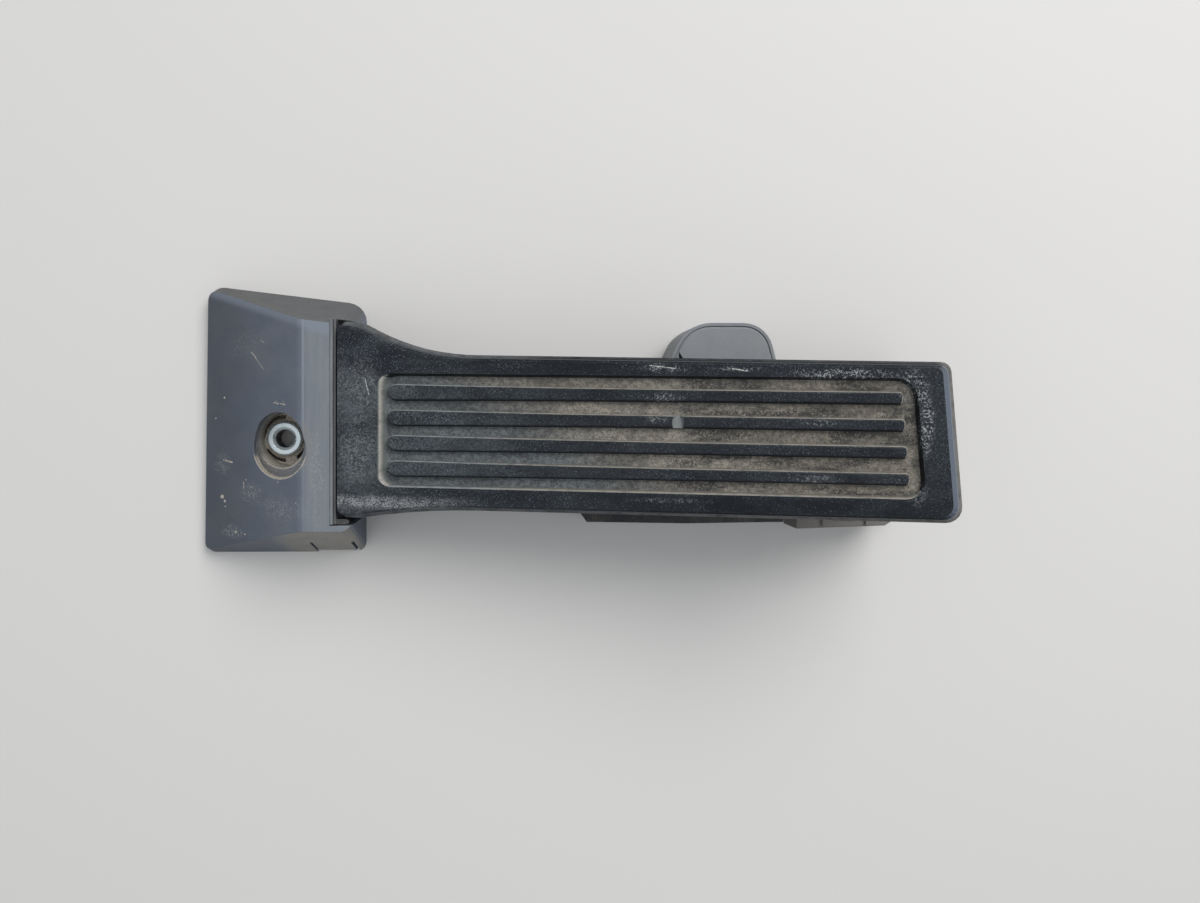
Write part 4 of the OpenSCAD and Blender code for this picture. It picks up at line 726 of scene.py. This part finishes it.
def make_materials():
    """Materials by the record's slot, and by node where a piece has a finish of its own."""
    plastic, metal = moulded_plastic, bare_metal
    by_slot = {
        "cover_grey": plastic("lid_grey", (0.215, 0.226, 0.244, 1), (0.186, 0.197, 0.215, 1),
                              (0.34, 0.36, 0.39, 1), 0.5, 0.15, 0.35),
        "housing": plastic("housing_black", (0.024, 0.027, 0.032, 1), (0.015, 0.017, 0.021, 1),
                           rough=0.5, paint=paint_housing),
        "carrier": plastic("carrier_black", (0.014, 0.017, 0.023, 1), (0.009, 0.011, 0.015, 1),
                           (0.135, 0.150, 0.170, 1), 0.42, 0.05, 0.4, paint=paint_carrier),
        "zinc_steel": metal("zinc_plate", (0.93, 1.0, 1.0, 1), (0.80, 0.92, 0.97, 1), 0.30,
                            (700, 700, 700), 0.06, 0.6, shade_bore),
        "steel": metal("ground_steel", (0.55, 0.55, 0.55, 1), (0.38, 0.38, 0.38, 1), 0.3,
                       (900, 200, 900)),
        "spring_steel": metal("spring_wire", (0.36, 0.36, 0.37, 1), (0.22, 0.22, 0.23, 1), 0.36,
                              (300, 300, 300)),
        "bronze": metal("sintered_bronze", (0.50, 0.31, 0.14, 1), (0.36, 0.21, 0.09, 1), 0.45,
                        (900, 900, 900)),
        "terminal": metal("tinned_brass", (0.70, 0.58, 0.32, 1), (0.55, 0.44, 0.22, 1), 0.3,
                          (600, 600, 600), 0.0),
        "magnet": metal("magnet_ferrite", (0.17, 0.17, 0.18, 1), (0.11, 0.11, 0.12, 1), 0.5,
                        (900, 900, 900)),
        "seal": plastic("seal_rubber", (0.040, 0.044, 0.050, 1), (0.026, 0.029, 0.033, 1),
                        rough=0.6, dust=0.2, worn=0.2, paint=paint_strip),
        "slide_plastic": plastic("slide_plastic", (0.55, 0.53, 0.46, 1), (0.47, 0.45, 0.39, 1),
                                 rough=0.4, dust=0.15, worn=0.2),
        "arm_plastic": plastic("arm_plastic", (0.032, 0.034, 0.037, 1), (0.022, 0.024, 0.027, 1),
                               rough=0.45),
        "lining": plastic("friction_lining", (0.24, 0.16, 0.09, 1), (0.16, 0.11, 0.06, 1), rough=0.75),
        "rubber_black": plastic("bump_rubber", (0.020, 0.020, 0.021, 1), (0.014, 0.014, 0.015, 1),
                                rough=0.7),
        "board": plastic("sensor_board", (0.015, 0.12, 0.045, 1), (0.01, 0.09, 0.035, 1),
                         rough=0.35, dust=0.0),
        "tread": worn_tread(),
    }
    by_node = {
        "heel_cover": plastic("heel_grey", heel_grey, heel_grey_dark, (0.30, 0.33, 0.37, 1),
                              0.48, 0.10, 0.35, paint=paint_heel),
        "connector_shell": plastic("connector_grey", (0.155, 0.150, 0.140, 1), (0.128, 0.125, 0.118, 1),
                                   (0.2, 0.2, 0.19, 1), 0.55, 0.2, 0.35),
    }
    return by_slot, by_node


def dress_nodes():
    """Gives every node of the construction its material."""
    by_slot, by_node = make_materials()
    for entry in frame["record"]["subparts"]:
        piece = frame["nodes"][entry["node"]]
        piece.data.materials.clear()
        piece.data.materials.append(by_node.get(entry["node"], by_slot[entry["material_slot"]]))


# Loose grit
def grit_material():
    """Dry dirt, each grain a little lighter or darker."""
    material, tree, shader, place = new_material("loose_grit", 0.9, shine=0.2)[:4]
    tone = ramp(tree, noise(tree, place, 900.0, 3.0), 0.3, 0.7)
    colour = mix_colour(tree, tone, (0.12, 0.105, 0.085, 1), (0.44, 0.40, 0.34, 1))
    finish_surface(tree, shader, colour, None, noise(tree, place, 4000.0), 0.3, 0.0001, 0.0001)
    return material


def new_node_tree(name, inputs):
    """Starts a geometry node tree with named sockets."""
    tree = bpy.data.node_groups.new(name, "GeometryNodeTree")
    geometry = "NodeSocketGeometry"
    sockets = {"Geometry": tree.interface.new_socket("Geometry", in_out="INPUT", socket_type=geometry)}
    for label, kind, value in inputs:
        sockets[label] = tree.interface.new_socket(label, in_out="INPUT", socket_type=kind)
        if value is not None:
            sockets[label].default_value = value
    tree.interface.new_socket("Geometry", in_out="OUTPUT", socket_type=geometry)
    start, end = tree.nodes.new("NodeGroupInput").outputs, tree.nodes.new("NodeGroupOutput").inputs
    return tree, sockets, start, end


def straight_ramp(tree, value, low, high):
    """Straight step from 0 at low to 1 at high."""
    made = put(tree, "ShaderNodeMapRange", {"Value": value, "From Min": low, "From Max": high}, clamp=True)
    return made.outputs["Result"]


def make_grit_tree():
    """Scatters small uneven grains over a surface, thicker where a broad noise is high."""
    tree, sockets, start, end = new_node_tree("grit_scatter", [
        ("Density", FLOAT, 1000000.0), ("Grain Size", FLOAT, 0.00018), ("Seed", "NodeSocketInt", 3),
        ("Material", "NodeSocketMaterial", None)])
    place = tree.nodes.new("GeometryNodeInputPosition").outputs[0]
    broad = straight_ramp(tree, noise(tree, place, 110.0, 4.0), 0.42, 0.62)
    points = put(tree, "GeometryNodeDistributePointsOnFaces", {"Mesh": start["Geometry"],
                 "Density": maths(tree, "MULTIPLY", start["Density"], broad), "Seed": start["Seed"]})
    grain = put(tree, "GeometryNodeMeshIcoSphere", {"Radius": start["Grain Size"], "Subdivisions": 1})
    spin = put(tree, "FunctionNodeRandomValue", {"Min": (0, 0, 0), "Max": (6.28, 6.28, 6.28), "Seed": 5},
               data_type="FLOAT_VECTOR")
    size = put(tree, "FunctionNodeRandomValue", {"Min": (0.35, 0.35, 0.35), "Max": (1.25, 1.05, 0.95),
               "Seed": 8}, data_type="FLOAT_VECTOR")
    laid = put(tree, "GeometryNodeInstanceOnPoints", {"Points": points.outputs["Points"],
               "Instance": grain.outputs["Mesh"], "Rotation": spin.outputs["Value"],
               "Scale": size.outputs["Value"]})
    real = put(tree, "GeometryNodeRealizeInstances", {"Geometry": laid.outputs[0]})
    dressed = put(tree, "GeometryNodeSetMaterial", {"Geometry": real.outputs[0],
                  "Material": start["Material"]})
    tree.links.new(dressed.outputs[0], end["Geometry"])
    return tree, sockets


def lay_grit(name, node, body, keep, density, size, seed, tools):
    """Makes grit on the faces of a node that keep() accepts, as one plain mesh on a body."""
    tree, sockets, material = tools
    patch = bmesh.new()
    patch.from_mesh(frame["nodes"][node].data)
    unwanted = [face for face in patch.faces if not keep(face.calc_center_median(), face.normal)]
    bmesh.ops.delete(patch, geom=unwanted, context="FACES")
    mesh = bpy.data.meshes.new(name + "_patch")
    patch.to_mesh(mesh)
    patch.free()
    source = bpy.data.objects.new(name + "_patch", mesh)
    bpy.context.scene.collection.objects.link(source)
    scatter = source.modifiers.new("grit_scatter", "NODES")
    scatter.node_group = tree
    for label, value in (("Density", density), ("Grain Size", size), ("Seed", seed), ("Material", material)):
        scatter[sockets[label].identifier] = value
    graph = bpy.context.evaluated_depsgraph_get()
    made = bpy.data.meshes.new_from_object(source.evaluated_get(graph))
    made.name = name
    bpy.data.objects.remove(source)
    piece = bpy.data.objects.new(name, made)
    bpy.context.scene.collection.objects.link(piece)
    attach(piece, body)
    return piece


def scatter_grit():
    """Grit on the floor of the recess and in the bolt well."""
    tree, sockets = make_grit_tree()
    tools = (tree, sockets, grit_material())
    turn = Matrix.Rotation(rest_angle, 3, "Y")

    def on_floor(centre, normal):
        here, facing = turn @ (centre - hinge), turn @ normal
        inside = recess_start < here.x < recess_end + 0.001
        return facing.z > 0.95 and abs(here.z - recess_floor) < 0.0004 and inside

    def in_well(centre, normal):
        below = centre.z < 0.022 + heel_slope * centre.x
        return normal.z > 0.6 and centre.xy.length < 0.014 and below

    lay_grit("recess_grit", "pad_tread", "pad", on_floor, density=700000.0, size=0.00017, seed=3,
             tools=tools)
    lay_grit("well_grit", "heel_cover", "base", in_well, density=2500000.0, size=0.0002, seed=4,
             tools=tools)


def shorten_springs():
    """The return springs as pieces of their own, with doubled points merged, attached to the base in place of
    the construction's spring nodes.
    """
    coils = {"return_spring_large": "large_spring_coil", "return_spring_small": "small_spring_coil"}
    for node, name in coils.items():
        coil = bmesh.new()
        coil.from_mesh(frame["nodes"][node].data)
        bmesh.ops.remove_doubles(coil, verts=coil.verts, dist=0.000001)
        mesh = bpy.data.meshes.new(name)
        coil.to_mesh(mesh)
        coil.free()
        mesh.materials.append(frame["nodes"][node].data.materials[0])
        piece = bpy.data.objects.new(name, mesh)
        bpy.context.scene.collection.objects.link(piece)
        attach(piece, "base")
        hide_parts(node)
        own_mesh(piece)


def lay_floor():
    """Plain pale floor under the pedal."""
    mesh = bpy.data.meshes.new("floor")
    corners = [(-floor_half, -floor_half, 0), (floor_half, -floor_half, 0), (floor_half, floor_half, 0),
               (-floor_half, floor_half, 0)]
    mesh.from_pydata(corners, [], [(0, 1, 2, 3)])
    floor = bpy.data.objects.new("floor", mesh)
    bpy.context.scene.collection.objects.link(floor)
    material, _, shader = new_material("pale_floor", 0.85)[:3]
    shader.inputs["Base Color"].default_value = (0.62, 0.61, 0.595, 1)
    mesh.materials.append(material)


place_camera()
light_room()
lay_floor()
dress_nodes()
scatter_grit()
shorten_springs()
